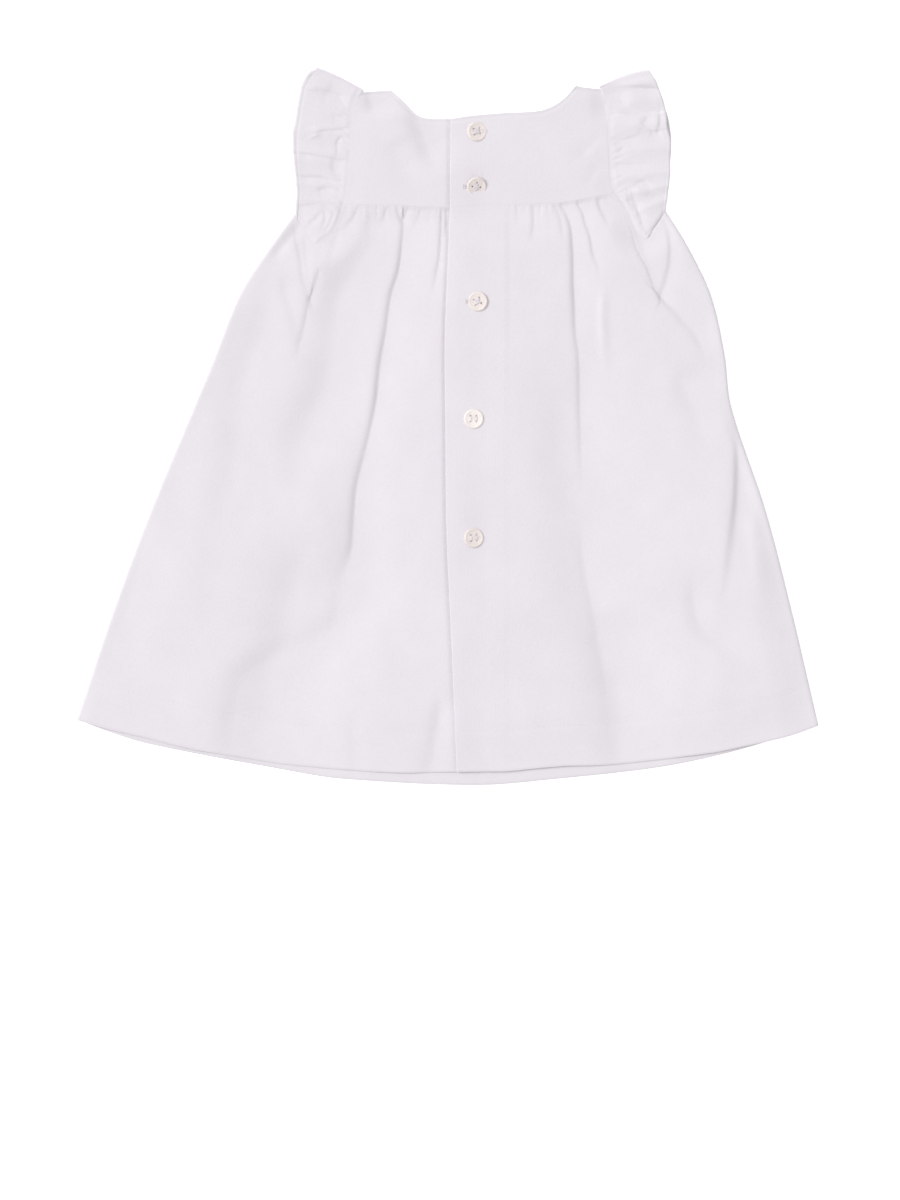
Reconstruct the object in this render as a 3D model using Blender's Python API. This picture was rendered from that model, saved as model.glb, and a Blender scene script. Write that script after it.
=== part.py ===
# Toddler dress, laid flat on its front so that the buttoned back shows.
#
# Blender units are metres, +Z is up, +Y runs from the hem to the neck, and the
# origin lies under the middle of the dress. Every table below is in millimetres,
# and MM turns a length from a table into metres.
#
# The dress is cut as a front and a back yoke, a front skirt, two gathered back
# skirts, two armhole ruffles and five buttons. Each cut piece is one closed wall
# of cloth. The front lies on the ground, the back lies on the front, and the
# right back laps over the left back down the buttoned opening.

from collections import namedtuple
from math import cos, exp, hypot, pi, sin, sqrt

import bmesh
import bpy
from mathutils import Matrix, Vector

MM = 0.001

# Driving dimensions
WALL = 1.4            # the cloth, with its seam allowances and nap
GAP = 0.3             # between pieces that meet at a seam
LAP_GAP = 0.5         # between the two layers of the buttoned opening
SEAM_CLEARANCE = 0.65 # between the ruffle and the curved armhole seam
EDGE_HOLD = 5.0       # how soon the columns of a panel stop following its side edges
SKIRT_PUFF = 3.0      # air between the front and the back of the skirt
YOKE_PUFF = 1.5       # air between the front and the back of the yoke
PUFF_RISE = 18.0      # height below the yoke seam over which the skirt fills out
SIDE_ROLL = 24.0      # width over which the back comes down to the side seams
YOKE_ROLL = 12.0      # the same along the armholes and the shoulders of the yoke
SEAM_PINCH = 5.0      # height of cloth that the yoke seam presses flat
RUFFLE_AIR = 1.2      # air inside the ruffle where it turns over the shoulder
RUFFLE_PUFF = 0.8     # air under the back half of the ruffle
RUFFLE_GATHER = 0.35  # height of the waves at the armhole seam, as a share of that at the edge
BUTTON_RADIUS = 6.2
BUTTON_THICKNESS = 2.4
BUTTON_RIM = 1.3      # width of the raised rim
BUTTON_DISH = 0.7     # depth of the dish inside the rim
HOLE_RADIUS = 0.85
HOLE_SPACING = 3.2    # side of the square on which the four holes stand
UNDERLAP = 33.0       # x of the hidden edge of the left back
LAP_RAMP = 4.0        # width over which the right back comes down from the underlap
SOFT_FOOT = 0.5       # square of twice the least lift of the back, so that troughs end softly
FOLD_RISE = 0.25      # share of a fold's path over which it reaches its full height
FOLD_FALL = 0.45      # share of a fold's path over which it dies away
SKIRT_ROWS = 22
FRONT_ROWS = 10
YOKE_ROWS = 8

# Seams and edges, as points that a smooth line runs through
SHOULDER_LEFT = [(-52.0, 201.0), (-43.0, 201.8), (-33.5, 202.0)]
SHOULDER_RIGHT = [(77.0, 204.8), (85.0, 203.8), (93.0, 203.0)]
NECK_LEFT = [(-33.5, 202.0), (-25.0, 194.0), (-19.0, 188.0), (-12.8, 185.5), (1.9, 185.0)]
NECK_LAP = [(1.9, 185.0), (17.0, 187.0), (UNDERLAP, 188.3)]
NECK_RIGHT = [(UNDERLAP, 188.3), (54.5, 189.5), (62.0, 191.8), (69.5, 196.5), (77.0, 204.8)]
NECK_FRONT = [
    (-33.5, 202.0), (-27.0, 183.0), (-12.0, 167.0), (22.0, 159.0), (54.0, 167.0), (69.5, 184.0),
    (77.0, 204.8),
]
ARMHOLE_LEFT = [(-52.0, 201.0), (-56.8, 190.7), (-57.7, 170.0), (-59.9, 146.7), (-61.4, 134.0)]
ARMHOLE_RIGHT = [(93.0, 203.0), (95.2, 193.7), (96.8, 171.0), (97.9, 148.7), (100.0, 139.8)]
UNDERARM_LEFT = [
    (-61.4, 134.0), (-66.5, 118.5), (-71.0, 112.8), (-77.6, 110.2), (-84.5, 117.4), (-91.5, 127.0),
]
UNDERARM_RIGHT = [
    (100.0, 139.8), (108.1, 127.5), (113.4, 115.5), (118.6, 113.0), (124.0, 119.0), (130.6, 129.0),
]
YOKE_SEAM_LEFT = [(-61.4, 134.0), (-46.0, 133.2), (-30.2, 132.9), (-14.6, 131.9), (1.6, 131.7)]
YOKE_SEAM_LAP = [(1.6, 131.7), (UNDERLAP, 133.4)]
YOKE_SEAM_RIGHT = [(UNDERLAP, 133.4), (64.6, 134.1), (78.0, 135.9), (88.8, 138.0), (100.0, 139.8)]
OPENING_YOKE = [(1.9, 185.0), (1.6, 158.0), (1.6, 131.7)]
OPENING_SKIRT = [
    (1.6, 131.7), (0.4, 102.9), (-1.5, 52.0), (-1.2, 0.0), (-0.5, -63.1), (2.5, -132.7), (5.6, -207.3),
]
SIDE_LEFT = [
    (-91.5, 127.0), (-106.4, 108.3), (-125.0, 79.5), (-142.4, 36.3), (-178.4, -50.1), (-200.0, -107.7),
    (-223.0, -176.3),
]
SIDE_RIGHT = [
    (130.6, 129.0), (144.4, 108.3), (158.2, 79.5), (166.5, 44.0), (170.6, 12.0), (191.2, -50.1),
    (206.2, -107.7), (223.0, -179.5),
]
HEM_SIDE_LEFT = [
    (-223.0, -176.3), (-203.3, -181.7), (-178.9, -187.3), (-155.0, -193.2), (-122.0, -199.0),
]
HEM_LEFT = [(-122.0, -199.0), (-94.7, -203.1), (-33.5, -207.7), (5.6, -207.3)]
HEM_LAP = [(5.6, -207.3), (36.0, -207.0)]
HEM_RIGHT = [(36.0, -207.0), (69.2, -203.9), (96.7, -203.1), (127.3, -200.0), (146.0, -197.6)]
HEM_SIDE_RIGHT = [(146.0, -197.6), (162.0, -195.4), (173.2, -193.1), (203.8, -186.2), (223.0, -179.5)]
HEM_FRONT = [
    (-223.0, -176.3), (-203.3, -183.6), (-178.9, -190.8), (-94.7, -206.9), (-64.1, -211.5),
    (17.2, -215.3), (66.1, -211.5), (127.3, -204.6), (173.2, -194.8), (223.0, -179.5),
]
RUFFLE_EDGE_LEFT = [
    (-91.5, 128.0), (-90.7, 141.0), (-91.9, 155.0), (-92.9, 171.0), (-91.1, 187.0), (-88.1, 204.0),
    (-84.2, 210.5), (-79.0, 213.4),
]
RUFFLE_EDGE_RIGHT = [
    (131.0, 130.6), (132.2, 140.0), (133.6, 155.0), (134.4, 174.0), (131.6, 189.5), (126.8, 204.0),
    (122.0, 212.6),
]

# Folds of the cloth. height is the ridge (above 0) or trough (below 0); west and
# east are its half widths on its two sides at the first point, grown by spread at
# the last one; start and end are its strength at the two ends of its path.
Fold = namedtuple("Fold", "height west east spread start end path")

SKIRT_FOLDS = [
    # gathers of the left back, from the armhole to the opening
    Fold(-1.6, 2.0, 2.0, 1.6, 1.0, 0.0, [(-53.0, 132.0), (-60.5, 119.0)]),
    Fold(-1.4, 2.2, 2.2, 1.8, 1.0, 0.0, [(-43.5, 132.0), (-47.0, 108.0)]),
    Fold(-1.2, 1.8, 1.8, 1.6, 1.0, 0.0, [(-35.5, 132.0), (-39.0, 112.0)]),
    Fold(1.0, 2.0, 2.0, 1.6, 1.0, 0.0, [(-31.0, 132.0), (-33.0, 92.0)]),
    Fold(-1.5, 2.0, 2.0, 1.6, 1.0, 0.0, [(-15.5, 131.0), (-22.0, 115.0)]),
    Fold(1.1, 3.0, 3.0, 1.8, 1.0, 0.0, [(-20.5, 131.0), (-24.0, 84.0)]),
    Fold(-1.1, 1.8, 1.8, 1.6, 1.0, 0.0, [(-9.5, 131.0), (-12.0, 112.0)]),
    Fold(-1.9, 1.6, 1.6, 1.8, 1.0, 0.0, [(-2.8, 131.0), (-4.5, 102.0), (-8.5, 76.0)]),
    # the long folds of the left back
    Fold(-3.4, 2.4, 1.6, 2.6, 1.0, 0.0, [
        (-26.0, 131.0), (-28.5, 100.5), (-35.5, 62.5), (-43.0, 13.5), (-54.0, -36.0), (-58.0, -78.5),
        (-66.0, -114.5), (-79.0, -127.0),
    ]),
    Fold(1.9, 9.0, 5.0, 1.3, 0.0, 0.0, [
        (-35.0, 100.0), (-44.0, 62.0), (-52.0, 13.0), (-63.0, -36.0), (-70.0, -90.0),
    ]),
    Fold(-2.0, 9.0, 6.0, 1.4, 0.3, 0.0, [
        (-45.0, 124.0), (-64.0, 93.0), (-74.5, 70.0), (-76.5, 44.0), (-82.0, 14.0), (-96.0, -22.0),
        (-103.0, -58.0),
    ]),
    Fold(1.6, 12.0, 9.0, 1.2, 0.0, 0.0, [
        (-86.0, 66.0), (-98.0, 14.0), (-114.0, -40.0), (-124.0, -100.0),
    ]),
    Fold(-1.6, 9.0, 6.0, 1.1, 0.0, 0.0, [
        (-90.0, -76.0), (-101.0, -110.0), (-110.0, -139.0), (-134.5, -151.0), (-137.0, -190.0),
    ]),
    Fold(-1.5, 8.0, 6.0, 1.3, 0.0, 0.0, [
        (-112.0, 97.0), (-119.0, 56.0), (-131.5, 22.5), (-136.0, -33.0), (-149.5, -86.0),
    ]),
    Fold(-1.3, 4.0, 4.0, 1.5, 0.0, 1.0, [(-3.0, -160.0), (-7.5, -194.0), (-11.0, -208.0)]),
    Fold(1.2, 9.0, 9.0, 1.0, 0.0, 1.0, [(-26.0, -100.0), (-34.0, -208.0)]),
    # creases under the left ruffle
    Fold(-1.3, 2.0, 2.0, 1.2, 0.0, 0.0, [(-93.0, 118.0), (-88.5, 101.0), (-86.0, 84.0), (-84.5, 70.0)]),
    Fold(-1.0, 2.0, 2.0, 1.0, 0.0, 0.0, [(-76.0, 100.0), (-80.0, 87.0), (-84.5, 76.0)]),
    # gathers of the right back, from the opening to the armhole
    Fold(-1.0, 1.8, 1.8, 1.6, 1.0, 0.0, [(43.0, 133.0), (43.0, 118.0)]),
    Fold(-1.5, 2.0, 2.0, 1.8, 1.0, 0.0, [(52.3, 133.0), (50.8, 106.0)]),
    Fold(1.0, 2.0, 2.0, 1.8, 1.0, 0.0, [(57.5, 133.0), (56.0, 96.0)]),
    Fold(-1.2, 1.6, 1.6, 1.6, 1.0, 0.0, [(62.5, 134.0), (64.5, 114.0)]),
    Fold(1.2, 2.2, 2.2, 1.8, 1.0, 0.0, [(74.5, 135.0), (80.5, 112.0), (84.0, 84.0)]),
    Fold(-2.1, 1.7, 1.7, 1.6, 1.0, 0.0, [(79.0, 136.0), (83.0, 123.0), (87.0, 109.0), (93.0, 88.0)]),
    Fold(-1.2, 1.8, 1.8, 1.4, 1.0, 0.0, [(86.0, 137.0), (91.0, 120.0)]),
    Fold(-1.3, 1.8, 1.8, 1.4, 1.0, 0.0, [(91.5, 138.0), (97.5, 123.0)]),
    # the long folds of the right back
    Fold(-3.8, 2.0, 2.6, 3.4, 1.0, 0.3, [
        (69.5, 133.0), (75.0, 118.5), (76.0, 97.5), (77.0, 70.0), (79.5, 28.0), (81.5, -30.0),
        (84.5, -80.0), (91.5, -134.0), (99.0, -204.0),
    ]),
    Fold(2.8, 15.0, 10.0, 1.2, 0.0, 0.8, [
        (43.0, 70.0), (50.0, 24.0), (58.0, -33.0), (61.5, -80.0), (69.0, -120.0), (82.0, -170.0),
        (86.0, -204.0),
    ]),
    Fold(1.8, 7.0, 10.0, 1.3, 0.0, 0.8, [
        (93.0, 63.0), (92.0, -20.0), (96.0, -80.0), (103.0, -134.0), (113.0, -202.0),
    ]),
    Fold(-1.2, 5.0, 5.0, 1.2, 0.0, 0.0, [(109.0, -143.0), (103.0, -154.0), (97.0, -166.0)]),
    Fold(2.9, 13.0, 3.0, 1.2, 0.0, 0.0, [
        (163.0, 36.0), (168.5, 6.0), (169.5, -30.0), (167.0, -70.0), (161.0, -112.0),
    ]),
    Fold(-2.6, 2.5, 6.0, 1.2, 0.0, 0.0, [
        (172.0, 6.0), (175.5, -20.0), (175.0, -50.0), (171.0, -86.0), (165.5, -120.0),
    ]),
    Fold(1.8, 5.0, 5.0, 1.3, 0.0, 0.0, [(183.0, -40.0), (185.5, -80.0), (190.0, -112.0)]),
    Fold(-1.6, 3.5, 3.5, 1.3, 0.0, 0.0, [
        (148.5, -84.0), (148.5, -106.5), (154.0, -122.0), (168.5, -133.0), (189.0, -154.0),
    ]),
    Fold(1.4, 14.0, 14.0, 1.0, 0.0, 0.0, [(132.0, 30.0), (138.0, -60.0), (146.0, -150.0)]),
    # creases under the right ruffle
    Fold(-1.4, 2.0, 2.0, 1.1, 0.0, 1.0, [(113.0, 112.0), (117.0, 99.0), (127.5, 77.5)]),
    Fold(-1.6, 2.0, 2.0, 1.0, 0.0, 1.0, [(131.0, 122.0), (134.0, 106.0), (132.5, 92.0), (127.5, 77.5)]),
    Fold(-2.0, 2.0, 3.0, 1.8, 1.0, 0.0, [(127.5, 77.5), (138.0, 67.0), (146.0, 58.0), (158.0, 35.0)]),
]

YOKE_FOLDS = [
    Fold(-1.0, 4.5, 3.5, 0.7, 0.6, 0.0, [(-24.0, 188.0), (-20.0, 176.0), (-14.0, 160.0)]),
    Fold(-0.8, 6.0, 6.0, 1.0, 1.0, 0.0, [(-48.0, 200.0), (-47.0, 188.0)]),
    Fold(-1.0, 6.0, 6.0, 1.0, 1.0, 0.0, [(80.0, 202.0), (79.0, 186.0)]),
    Fold(-0.8, 2.5, 3.0, 1.4, 0.0, 0.0, [(95.0, 176.0), (87.0, 170.0), (79.0, 161.0)]),
    Fold(-0.6, 2.5, 2.5, 1.2, 0.0, 0.0, [(91.0, 158.0), (86.0, 146.0)]),
]

# Waves of the ruffles, from the top to the bottom. y_seam and y_edge are where the
# crest crosses the armhole seam and the loose edge; half is its half width.
Wave = namedtuple("Wave", "height half y_seam y_edge")

RUFFLE_WAVES_LEFT = [
    Wave(4.0, 5.0, 197.0, 206.0),
    Wave(2.6, 3.8, 188.5, 194.5),
    Wave(4.2, 5.6, 178.5, 181.0),
    Wave(3.2, 4.6, 168.5, 169.0),
    Wave(4.0, 4.4, 159.5, 159.0),
    Wave(3.0, 3.6, 150.0, 150.5),
    Wave(3.8, 4.0, 141.5, 142.5),
    Wave(2.4, 3.6, 131.0, 134.0),
]
RUFFLE_WAVES_RIGHT = [
    Wave(4.6, 5.4, 200.0, 206.5),
    Wave(3.0, 4.6, 190.5, 193.0),
    Wave(4.2, 6.0, 178.0, 180.0),
    Wave(3.4, 5.0, 166.0, 167.5),
    Wave(4.2, 4.8, 155.0, 157.0),
    Wave(2.8, 3.6, 146.0, 148.5),
    Wave(3.6, 4.0, 136.0, 141.0),
    Wave(2.4, 3.4, 125.0, 134.5),
]

# Buttons, from the neck down, each turned a little as it was sewn
Button = namedtuple("Button", "x y turn")
BUTTONS = [
    Button(17.8, 177.1, 8.0),
    Button(17.5, 143.9, 40.0),
    Button(18.3, 74.8, 20.0),
    Button(15.8, 4.5, 42.0),
    Button(15.9, -66.9, 4.0),
]


# Curves and grids

def smooth(value):
    value = min(max(value, 0.0), 1.0)
    return value * value * (3.0 - 2.0 * value)


def mixed(a, b, share):
    return tuple(p + (q - p) * share for p, q in zip(a, b))


def along(points, share):
    """The point at a share of the way along a smooth line through points."""
    knots = [0.0]
    for a, b in zip(points, points[1:]):
        knots.append(knots[-1] + hypot(b[0] - a[0], b[1] - a[1]))
    here = share * knots[-1]
    last = len(points) - 1
    step = next((i for i in range(last) if here <= knots[i + 1]), last - 1)

    def slope(i):
        low, high = max(i - 1, 0), min(i + 1, last)
        span = knots[high] - knots[low]
        return [(points[high][k] - points[low][k]) / span for k in (0, 1)]

    span = knots[step + 1] - knots[step]
    t = (here - knots[step]) / span
    starts, ends = slope(step), slope(step + 1)
    return tuple(
        (2 * t**3 - 3 * t**2 + 1) * points[step][k]
        + (t**3 - 2 * t**2 + t) * span * starts[k]
        + (3 * t**2 - 2 * t**3) * points[step + 1][k]
        + (t**3 - t**2) * span * ends[k]
        for k in (0, 1)
    )


def run(points, cuts):
    return [along(points, i / cuts) for i in range(cuts + 1)]


def joined(*runs):
    """One edge made of runs that share their end points."""
    edge = list(runs[0])
    for more in runs[1:]:
        edge += more[1:]
    return edge


def shifted(edge, x, y):
    return [(px + x, py + y) for px, py in edge]


def bow(edge, share):
    """How far an edge bows from the straight line between its ends."""
    return [a - b for a, b in zip(along(edge, share), mixed(edge[0], edge[-1], share))]


def panel(top, bottom, left, right, shares):
    """Rows of plan points between four edges; shares says how far down each row lies."""
    rows = []
    for share in shares:
        lean_left = bow(left, share)
        lean_right = bow(right, share)
        row = []
        for i, (high, low) in enumerate(zip(top, bottom)):
            across = i / (len(top) - 1)
            point = mixed(high, low, share)
            hold = ((1 - across) ** EDGE_HOLD, across ** EDGE_HOLD)
            row.append(tuple(point[k] + hold[0] * lean_left[k] + hold[1] * lean_right[k] for k in (0, 1)))
        rows.append(row)
    return rows


def side_at(points, y):
    """x of an edge at a height, for an edge whose points run downwards."""
    for (xa, ya), (xb, yb) in zip(points, points[1:]):
        if y >= yb:
            return xa + (xb - xa) * min(max((ya - y) / (ya - yb), 0.0), 1.0)
    return points[-1][0]


# The height of the cloth

def fold_height(fold, x, y):
    lengths = [hypot(b[0] - a[0], b[1] - a[1]) for a, b in zip(fold.path, fold.path[1:])]
    total = sum(lengths)
    nearest, share, east = 1e9, 0.0, False
    walked = 0.0
    for (ax, ay), (bx, by), length in zip(fold.path, fold.path[1:], lengths):
        dx, dy = (bx - ax) / length, (by - ay) / length
        on = min(max((x - ax) * dx + (y - ay) * dy, 0.0), length)
        away = hypot(x - ax - dx * on, y - ay - dy * on)
        if away < nearest:
            nearest, share = away, (walked + on) / total
            east = dx * (y - ay) - dy * (x - ax) > 0.0
        walked += length
    width = (fold.east if east else fold.west) * (1.0 + (fold.spread - 1.0) * share)
    strength = fold.start + (1.0 - fold.start) * smooth(share / FOLD_RISE)
    strength *= fold.end + (1.0 - fold.end) * smooth((1.0 - share) / FOLD_FALL)
    return fold.height * strength * exp(-((nearest / width) ** 2))


def kept_up(height):
    """A height that never goes below the layer underneath, with a soft foot."""
    return 0.5 * (height + sqrt(height * height + SOFT_FOOT))


def yoke_seam_y(x):
    seam = YOKE_SEAM_LEFT + YOKE_SEAM_LAP[1:] + YOKE_SEAM_RIGHT[1:]
    for (xa, ya), (xb, yb) in zip(seam, seam[1:]):
        if x <= xb:
            return ya + (yb - ya) * min(max((x - xa) / (xb - xa), 0.0), 1.0)
    return seam[-1][1]


def skirt_lift(x, y):
    """How far the back of the skirt stands above the front."""
    inside = min(x - side_at(SIDE_LEFT, y), side_at(SIDE_RIGHT, y) - x)
    rise = smooth(inside / SIDE_ROLL)
    below_seam = smooth((yoke_seam_y(x) - y) / SEAM_PINCH)
    folds = sum(fold_height(fold, x, y) for fold in SKIRT_FOLDS)
    air = YOKE_PUFF + (SKIRT_PUFF - YOKE_PUFF) * smooth((yoke_seam_y(x) - y) / PUFF_RISE)
    return kept_up(rise * (air + below_seam * folds))


def yoke_lift(x, y):
    below_shoulder = SHOULDER_LEFT[0][1] - y
    inside = min(x - side_at(ARMHOLE_LEFT, y), side_at(ARMHOLE_RIGHT, y) - x, below_shoulder)
    folds = sum(fold_height(fold, x, y) for fold in YOKE_FOLDS)
    return kept_up(YOKE_PUFF * smooth(0.3 + inside / YOKE_ROLL) + folds)


def lap_step(x):
    """What the right back adds to its height over the underlap of the left back."""
    return (WALL + LAP_GAP) * (1.0 - smooth((x - UNDERLAP - LAP_GAP) / LAP_RAMP))


def left_skirt_floor(x, y):
    return WALL + GAP + skirt_lift(x, y)


def right_skirt_floor(x, y):
    return WALL + GAP + skirt_lift(x, y) + lap_step(x)


def left_yoke_floor(x, y):
    return WALL + GAP + yoke_lift(x, y)


def right_yoke_floor(x, y):
    return WALL + GAP + yoke_lift(x, y) + lap_step(x)


def ground(x, y):
    return 0.0


# Making the pieces

def material(name, colour, roughness):
    made = bpy.data.materials.new(name)
    made.use_nodes = True
    shader = made.node_tree.nodes["Principled BSDF"]
    shader.inputs["Base Color"].default_value = (*colour, 1.0)
    shader.inputs["Roughness"].default_value = roughness
    shader.inputs["Metallic"].default_value = 0.0
    return made


def add_object(name, mesh, finish, collection):
    data = bpy.data.meshes.new(name)
    bmesh.ops.recalc_face_normals(mesh, faces=mesh.faces[:])
    mesh.to_mesh(data)
    mesh.free()
    data.materials.append(finish)
    data.shade_smooth()
    data.set_sharp_from_angle(angle=pi / 4)
    piece = bpy.data.objects.new(name, data)
    collection.objects.link(piece)
    return piece


def cloth_wall(rows, columns, place):
    """A closed wall over a grid; place(row, column, side) gives a point, side 0 under and 1 over."""
    mesh = bmesh.new()
    bmesh.ops.create_grid(mesh, x_segments=columns, y_segments=rows, size=1.0)
    under = list(mesh.verts)
    raised = bmesh.ops.extrude_face_region(mesh, geom=mesh.faces[:], use_keep_orig=True)["geom"]
    over = [item for item in raised if isinstance(item, bmesh.types.BMVert)]
    for side, verts in enumerate((under, over)):
        for vert in verts:
            column = round((vert.co.x + 1.0) / 2.0 * columns)
            row = round((1.0 - vert.co.y) / 2.0 * rows)
            vert.co = Vector(place(row, column, side)) * MM
    return mesh


def panel_piece(name, plan, floor, finish, collection):
    def place(row, column, side):
        x, y = plan[row][column]
        return x, y, floor(x, y) + side * WALL

    mesh = cloth_wall(len(plan) - 1, len(plan[0]) - 1, place)
    return add_object(name, mesh, finish, collection)


def even(rows):
    return [i / rows for i in range(rows + 1)]


def closer_at_top(rows):
    return [(i / rows) ** 1.25 for i in range(rows + 1)]


def front_pieces(finish, collection):
    seam = joined(run(YOKE_SEAM_LEFT, 6), run(YOKE_SEAM_LAP, 2), run(YOKE_SEAM_RIGHT, 6))
    top = joined(run(SHOULDER_LEFT, 2), run(NECK_FRONT, 10), run(SHOULDER_RIGHT, 2))
    plan = panel(top, shifted(seam, 0.0, GAP), ARMHOLE_LEFT, ARMHOLE_RIGHT, even(YOKE_ROWS))
    panel_piece("front_yoke", plan, ground, finish, collection)
    top = joined(run(UNDERARM_LEFT[::-1], 10), seam, run(UNDERARM_RIGHT, 10))
    plan = panel(top, run(HEM_FRONT, len(top) - 1), SIDE_LEFT, SIDE_RIGHT, even(FRONT_ROWS))
    panel_piece("front_skirt", plan, ground, finish, collection)


def back_yokes(finish, collection):
    lap_edge = [NECK_LAP[-1], YOKE_SEAM_LAP[-1]]
    top = joined(run(SHOULDER_LEFT, 3), run(NECK_LEFT, 7), run(NECK_LAP, 3))
    seam = shifted(joined(run(YOKE_SEAM_LEFT, 10), run(YOKE_SEAM_LAP, 3)), 0.0, GAP)
    plan = panel(top, seam, ARMHOLE_LEFT, lap_edge, even(YOKE_ROWS))
    panel_piece("back_yoke_left", plan, left_yoke_floor, finish, collection)
    top = joined(run(NECK_LAP, 5), run(NECK_RIGHT, 8), run(SHOULDER_RIGHT, 3))
    seam = shifted(joined(run(YOKE_SEAM_LAP, 5), run(YOKE_SEAM_RIGHT, 11)), 0.0, GAP)
    plan = panel(top, seam, OPENING_YOKE, ARMHOLE_RIGHT, even(YOKE_ROWS))
    panel_piece("back_yoke_right", plan, right_yoke_floor, finish, collection)


def back_skirts(finish, collection):
    lap_edge = [YOKE_SEAM_LAP[-1], (UNDERLAP, HEM_LAP[-1][1])]
    lap_hem = [HEM_LAP[0], lap_edge[-1]]
    top = joined(run(UNDERARM_LEFT[::-1], 10), run(YOKE_SEAM_LEFT, 24), run(YOKE_SEAM_LAP, 3))
    hem = joined(run(HEM_SIDE_LEFT, 10), run(HEM_LEFT, 24), run(lap_hem, 3))
    plan = panel(top, hem, SIDE_LEFT, lap_edge, closer_at_top(SKIRT_ROWS))
    panel_piece("back_skirt_left", plan, left_skirt_floor, finish, collection)
    top = joined(run(YOKE_SEAM_LAP, 6), run(YOKE_SEAM_RIGHT, 24), run(UNDERARM_RIGHT, 10))
    hem = joined(run(HEM_LAP, 6), run(HEM_RIGHT, 24), run(HEM_SIDE_RIGHT, 10))
    plan = panel(top, hem, OPENING_SKIRT, SIDE_RIGHT, closer_at_top(SKIRT_ROWS))
    panel_piece("back_skirt_right", plan, right_skirt_floor, finish, collection)


def wave_height(waves, outwards, y):
    """Crests that grow from the seam, where they are gathers, to the loose edge."""
    total = 0.0
    for wave in waves:
        crest = wave.y_seam + (wave.y_edge - wave.y_seam) * outwards
        total += wave.height * exp(-(((y - crest) / wave.half) ** 2))
    return total * (RUFFLE_GATHER + (1.0 - RUFFLE_GATHER) * smooth(outwards / 0.6))


def ruffle(name, seam, edge, waves, finish, collection):
    """A strip in the armhole: its front half on the ground, over the shoulder, its back half on top."""
    outward = 1.0 if seam[0][0] > 0.0 else -1.0
    back_rows, turn_rows, front_rows, columns = 30, 4, 8, 5
    radius = (WALL + RUFFLE_AIR) / 2.0
    middle = WALL / 2.0 + radius
    inner = shifted(seam, outward * SEAM_CLEARANCE, 1.6 * SEAM_CLEARANCE)
    tip, shoulder = edge[-1], inner[-1]
    run_x, run_y = tip[0] - shoulder[0], tip[1] - shoulder[1]
    fold_length = hypot(run_x, run_y)
    normal = (-outward * run_y / fold_length, outward * run_x / fold_length)
    total = back_rows + turn_rows + front_rows

    def plan_point(share, across):
        return mixed(along(inner, share), along(edge, share), across)

    def place(row, column, side):
        across = column / columns
        half = (side - 0.5) * WALL
        if row <= back_rows:
            x, y = plan_point(row / back_rows, across)
            near_turn = smooth((back_rows - row) / 3.0)
            lift = RUFFLE_PUFF + wave_height(waves, across, y)
            return x, y, middle + radius + near_turn * lift + half
        if row >= back_rows + turn_rows:
            x, y = plan_point((total - row) / front_rows, across)
            return x, y, WALL / 2.0 - half
        x, y = plan_point(1.0, across)
        angle = pi * (row - back_rows) / turn_rows
        reach = (radius + half) * sin(angle)
        return x + normal[0] * reach, y + normal[1] * reach, middle + (radius + half) * cos(angle)

    mesh = cloth_wall(total, columns, place)
    return add_object(name, mesh, finish, collection)


def ruffles(finish, collection):
    seam = joined(UNDERARM_LEFT[3::-1], ARMHOLE_LEFT[::-1])
    ruffle("ruffle_left", seam, RUFFLE_EDGE_LEFT, RUFFLE_WAVES_LEFT, finish, collection)
    seam = joined(UNDERARM_RIGHT[3::-1], ARMHOLE_RIGHT[::-1])
    ruffle("ruffle_right", seam, RUFFLE_EDGE_RIGHT, RUFFLE_WAVES_RIGHT, finish, collection)


def panel_top(x, y):
    floor = right_yoke_floor if y > yoke_seam_y(x) else right_skirt_floor
    return floor(x, y) + WALL


def button_mesh(finish):
    """A turned disc with a raised rim and four holes."""
    profile = [
        (0.0, BUTTON_THICKNESS - BUTTON_DISH),
        (BUTTON_RADIUS - BUTTON_RIM - 0.9, BUTTON_THICKNESS - BUTTON_DISH),
        (BUTTON_RADIUS - BUTTON_RIM, BUTTON_THICKNESS),
        (BUTTON_RADIUS - 0.5, BUTTON_THICKNESS),
        (BUTTON_RADIUS, BUTTON_THICKNESS - 0.7),
        (BUTTON_RADIUS - 0.5, 0.0),
        (0.0, 0.0),
    ]
    mesh = bmesh.new()
    verts = [mesh.verts.new(Vector((r, 0.0, z)) * MM) for r, z in profile]
    edges = [mesh.edges.new(pair) for pair in zip(verts, verts[1:])]
    bmesh.ops.spin(mesh, geom=verts + edges, cent=(0, 0, 0), axis=(0, 0, 1), angle=2 * pi, steps=20,
                   use_merge=True)
    bmesh.ops.remove_doubles(mesh, verts=mesh.verts[:], dist=0.01 * MM)
    return mesh


def hole_cutter(collection):
    """Four pins, one for each hole of a button."""
    mesh = bmesh.new()
    for x in (-HOLE_SPACING / 2, HOLE_SPACING / 2):
        for y in (-HOLE_SPACING / 2, HOLE_SPACING / 2):
            at = Matrix.Translation(Vector((x, y, BUTTON_THICKNESS / 2)) * MM)
            bmesh.ops.create_cone(mesh, cap_ends=True, segments=6, radius1=HOLE_RADIUS * MM,
                                  radius2=HOLE_RADIUS * MM, depth=2 * BUTTON_THICKNESS * MM, matrix=at)
    data = bpy.data.meshes.new("button_holes")
    mesh.to_mesh(data)
    mesh.free()
    cutter = bpy.data.objects.new("button_holes", data)
    cutter.hide_render = True
    cutter.display_type = "WIRE"
    collection.objects.link(cutter)
    return cutter


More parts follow.
